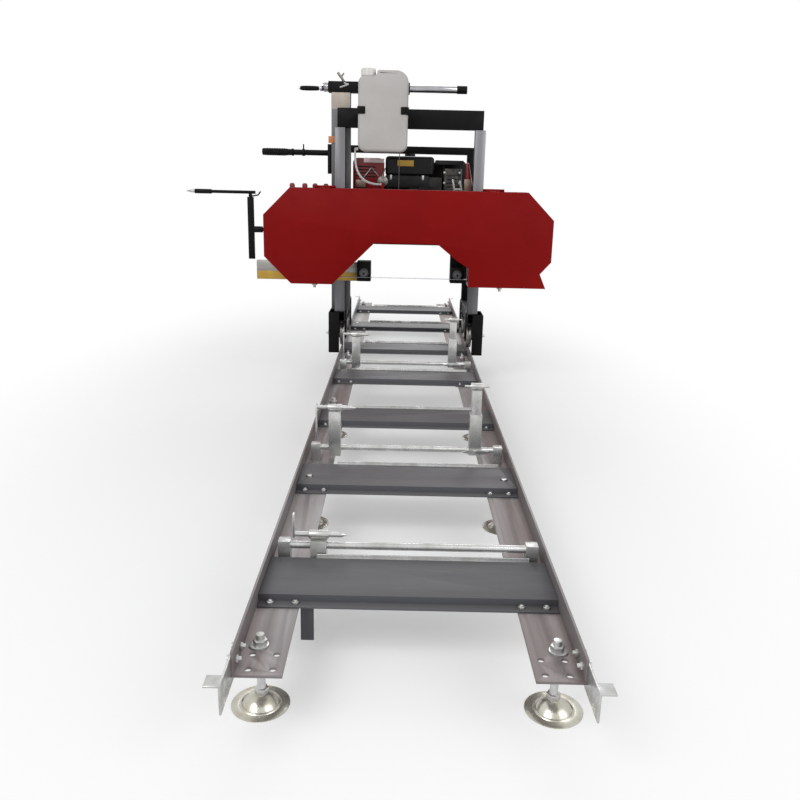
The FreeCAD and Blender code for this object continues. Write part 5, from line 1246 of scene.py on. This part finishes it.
    def _right_side(self) -> None:
        """Makes the cylinder cover, the heat shield, the bolts, the clutch handle and the bent bracket."""
        cover = box("cylinder_cover", *self.cylinder)
        softened(cover, self.corner_round, 4, self._top_edge)
        self.added(cover, "head", Paint.ENGINE, "engine_metal", 0.004)
        top = box("heat_shield.top", *self.shield_top)
        front = box("heat_shield.front", *self.shield_front)
        legs = [box(f"heat_shield.leg_{n}", (x, 0.820, 1.255), (x + self.leg_width, 0.845, 1.310))
                for n, x in enumerate(self.shield_legs)]
        shield = joined("heat_shield", [top, front] + legs)
        self.added(shield, "head", Paint.ENGINE, "muffler_metal", 0.0015)
        bolts = [stacked(f"cylinder_bolt_{n}", (x, self.bolt_front, z), Axis.BACK_Y, self.bolt_rings, 6)
                 for n, (x, z) in enumerate(self.bolt_places)]
        self.added(joined("cylinder_bolts", bolts), "head", Paint.ZINC, "muffler_metal")
        handle = bar("clutch_handle", *self.clutch_handle, 0.026, 8, 0.42)
        self.added(handle, "head", Paint.ENGINE_RED, "shroud_red", self.edge)
        post = box("clutch_post", *self.clutch_post)
        self.added(post, "head", Paint.BRONZE, "muffler_metal", 0.002)
        fork = [bar(f"bent_bracket.{n}", *ends, radius, 4) for n, ends, radius in self.bracket]
        self.added(joined("bent_bracket", fork), "head", Paint.ZINC, "muffler_metal", self.sheet_edge)


@dataclass
class Studio:
    """The plain floor, the soft lamps and the camera."""

    camera_place: Point = (0.1954, -4.229, 1.2154)
    pitch_down: float = 0.27115
    turn: float = -0.00295
    roll: float = 0.02275
    lens: float = 36.16
    floor_half: float = 14.0
    floor_colour: Colour = (0.93, 0.93, 0.925)
    fade: tuple[float, float] = (0.8, 2.2)
    least_white: float = 0.3
    world_light: float = 0.5
    world_tint: tuple[float, float, float, float] = (0.95, 0.97, 1.0, 1)
    aim: Point = (0.2, 0.0, 0.7)
    long_fade: Point = (1.0, 0.42, 1.0)
    lamps: tuple[tuple[str, Point, float, float], ...] = (
        ("key", (-3.2, -5.5, 5.2), 4.0, 255), ("fill", (4.6, -4.5, 3.6), 4.0, 125),
        ("back", (0.5, 6.5, 5.0), 5.0, 200))

    def build(self) -> None:
        """Adds the floor, lamps, world and camera."""
        self._floor()
        for lamp in self.lamps:
            self._lamp(*lamp)
        self._world()
        bpy.context.scene.view_settings.view_transform = "Standard"
        self._camera()

    @staticmethod
    def _looked_at(tree: bpy.types.NodeTree) -> bpy.types.NodeSocket:
        """Adds what tells straight, mirrored and see-through looks from the light on other surfaces.

        Args:
            tree: the shader's tree.

        Returns:
            A socket that is 1 for such looks.
        """
        path = tree.nodes.new("ShaderNodeLightPath")
        near = tree.nodes.new("ShaderNodeMath")
        near.operation = "MAXIMUM"
        both = tree.nodes.new("ShaderNodeMath")
        both.operation = "MAXIMUM"
        tree.links.new(path.outputs["Is Camera Ray"], near.inputs[0])
        tree.links.new(path.outputs["Is Glossy Ray"], near.inputs[1])
        tree.links.new(near.outputs[0], both.inputs[0])
        tree.links.new(path.outputs["Is Transmission Ray"], both.inputs[1])
        return both.outputs[0]

    def _world(self) -> None:
        """Lights the scene evenly from all round and shows white behind it."""
        world = bpy.data.worlds.new("studio")
        world.use_nodes = True
        tree = world.node_tree
        lit = tree.nodes["Background"]
        lit.inputs["Color"].default_value = self.world_tint
        lit.inputs["Strength"].default_value = self.world_light
        shown = tree.nodes.new("ShaderNodeBackground")
        shown.inputs["Color"].default_value = (1, 1, 1, 1)
        mix = tree.nodes.new("ShaderNodeMixShader")
        tree.links.new(self._looked_at(tree), mix.inputs["Fac"])
        tree.links.new(lit.outputs[0], mix.inputs[1])
        tree.links.new(shown.outputs[0], mix.inputs[2])
        tree.links.new(mix.outputs[0], tree.nodes["World Output"].inputs["Surface"])
        bpy.context.scene.world = world

    def _floor(self) -> None:
        """A wide plain floor that keeps the machine's shadow and turns white further out."""
        bpy.ops.mesh.primitive_plane_add(size=2 * self.floor_half, location=(0, 0, 0))
        floor = settle(bpy.context.object)
        floor.name = "floor"
        material = bpy.data.materials.new("studio_floor")
        material.use_nodes = True
        tree = material.node_tree
        matt = tree.nodes["Principled BSDF"]
        matt.inputs["Base Color"].default_value = linear(self.floor_colour)
        matt.inputs["Roughness"].default_value = 0.8
        matt.inputs["Specular IOR Level"].default_value = 0.1
        place = tree.nodes.new("ShaderNodeTexCoord")
        shrink = tree.nodes.new("ShaderNodeVectorMath")
        shrink.operation = "MULTIPLY"
        shrink.inputs[1].default_value = self.long_fade
        reach = tree.nodes.new("ShaderNodeVectorMath")
        reach.operation = "LENGTH"
        fade = tree.nodes.new("ShaderNodeMapRange")
        fade.interpolation_type = "SMOOTHSTEP"
        fade.inputs["From Min"].default_value, fade.inputs["From Max"].default_value = self.fade
        fade.inputs["To Min"].default_value = self.least_white
        both = tree.nodes.new("ShaderNodeMath")
        both.operation = "MULTIPLY"
        white = tree.nodes.new("ShaderNodeEmission")
        white.inputs["Color"].default_value = (1, 1, 1, 1)
        mix = tree.nodes.new("ShaderNodeMixShader")
        tree.links.new(place.outputs["Object"], shrink.inputs[0])
        tree.links.new(shrink.outputs[0], reach.inputs[0])
        tree.links.new(reach.outputs["Value"], fade.inputs["Value"])
        tree.links.new(fade.outputs["Result"], both.inputs[0])
        tree.links.new(self._looked_at(tree), both.inputs[1])
        tree.links.new(both.outputs[0], mix.inputs["Fac"])
        tree.links.new(matt.outputs[0], mix.inputs[1])
        tree.links.new(white.outputs[0], mix.inputs[2])
        tree.links.new(mix.outputs[0], tree.nodes["Material Output"].inputs["Surface"])
        floor.data.materials.append(material)

    def _lamp(self, name: str, place: Point, size: float, power: float) -> None:
        """Adds a square soft lamp aimed at the machine.

        Args:
            name: the lamp's name.
            place: where it stands.
            size: its side.
            power: its power in watts.
        """
        data = bpy.data.lights.new(name, "AREA")
        data.size = size
        data.energy = power
        lamp = bpy.data.objects.new(name, data)
        lamp.location = place
        aim = Vector(self.aim) - Vector(place)
        lamp.rotation_euler = aim.to_track_quat("-Z", "Y").to_euler()
        bpy.context.scene.collection.objects.link(lamp)

    def _camera(self) -> None:
        """Places the camera at the photograph's viewpoint."""
        data = bpy.data.cameras.new("camera")
        data.lens = self.lens
        data.clip_end = 100
        camera = bpy.data.objects.new("camera", data)
        turn = (Matrix.Rotation(self.turn, 4, "Z") @ Matrix.Rotation(math.pi / 2 - self.pitch_down, 4, "X")
                @ Matrix.Rotation(self.roll, 4, "Z"))
        camera.matrix_world = Matrix.Translation(self.camera_place) @ turn
        bpy.context.scene.collection.objects.link(camera)
        bpy.context.scene.camera = camera


def main() -> None:
    """Builds the whole scene round the frame."""
    logging.basicConfig(level=logging.INFO, format="%(name)s %(message)s")
    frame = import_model()
    Studio().build()
    for kind in (Water, Track, Clamps, Carriage, Hoist, Head, Engine):
        assembly = kind(frame)
        assembly.build()
        LOG.info("%s has %d pieces", kind.__name__, len(assembly.made))
    bpy.context.view_layer.update()


if __name__ == "__main__":
    main()
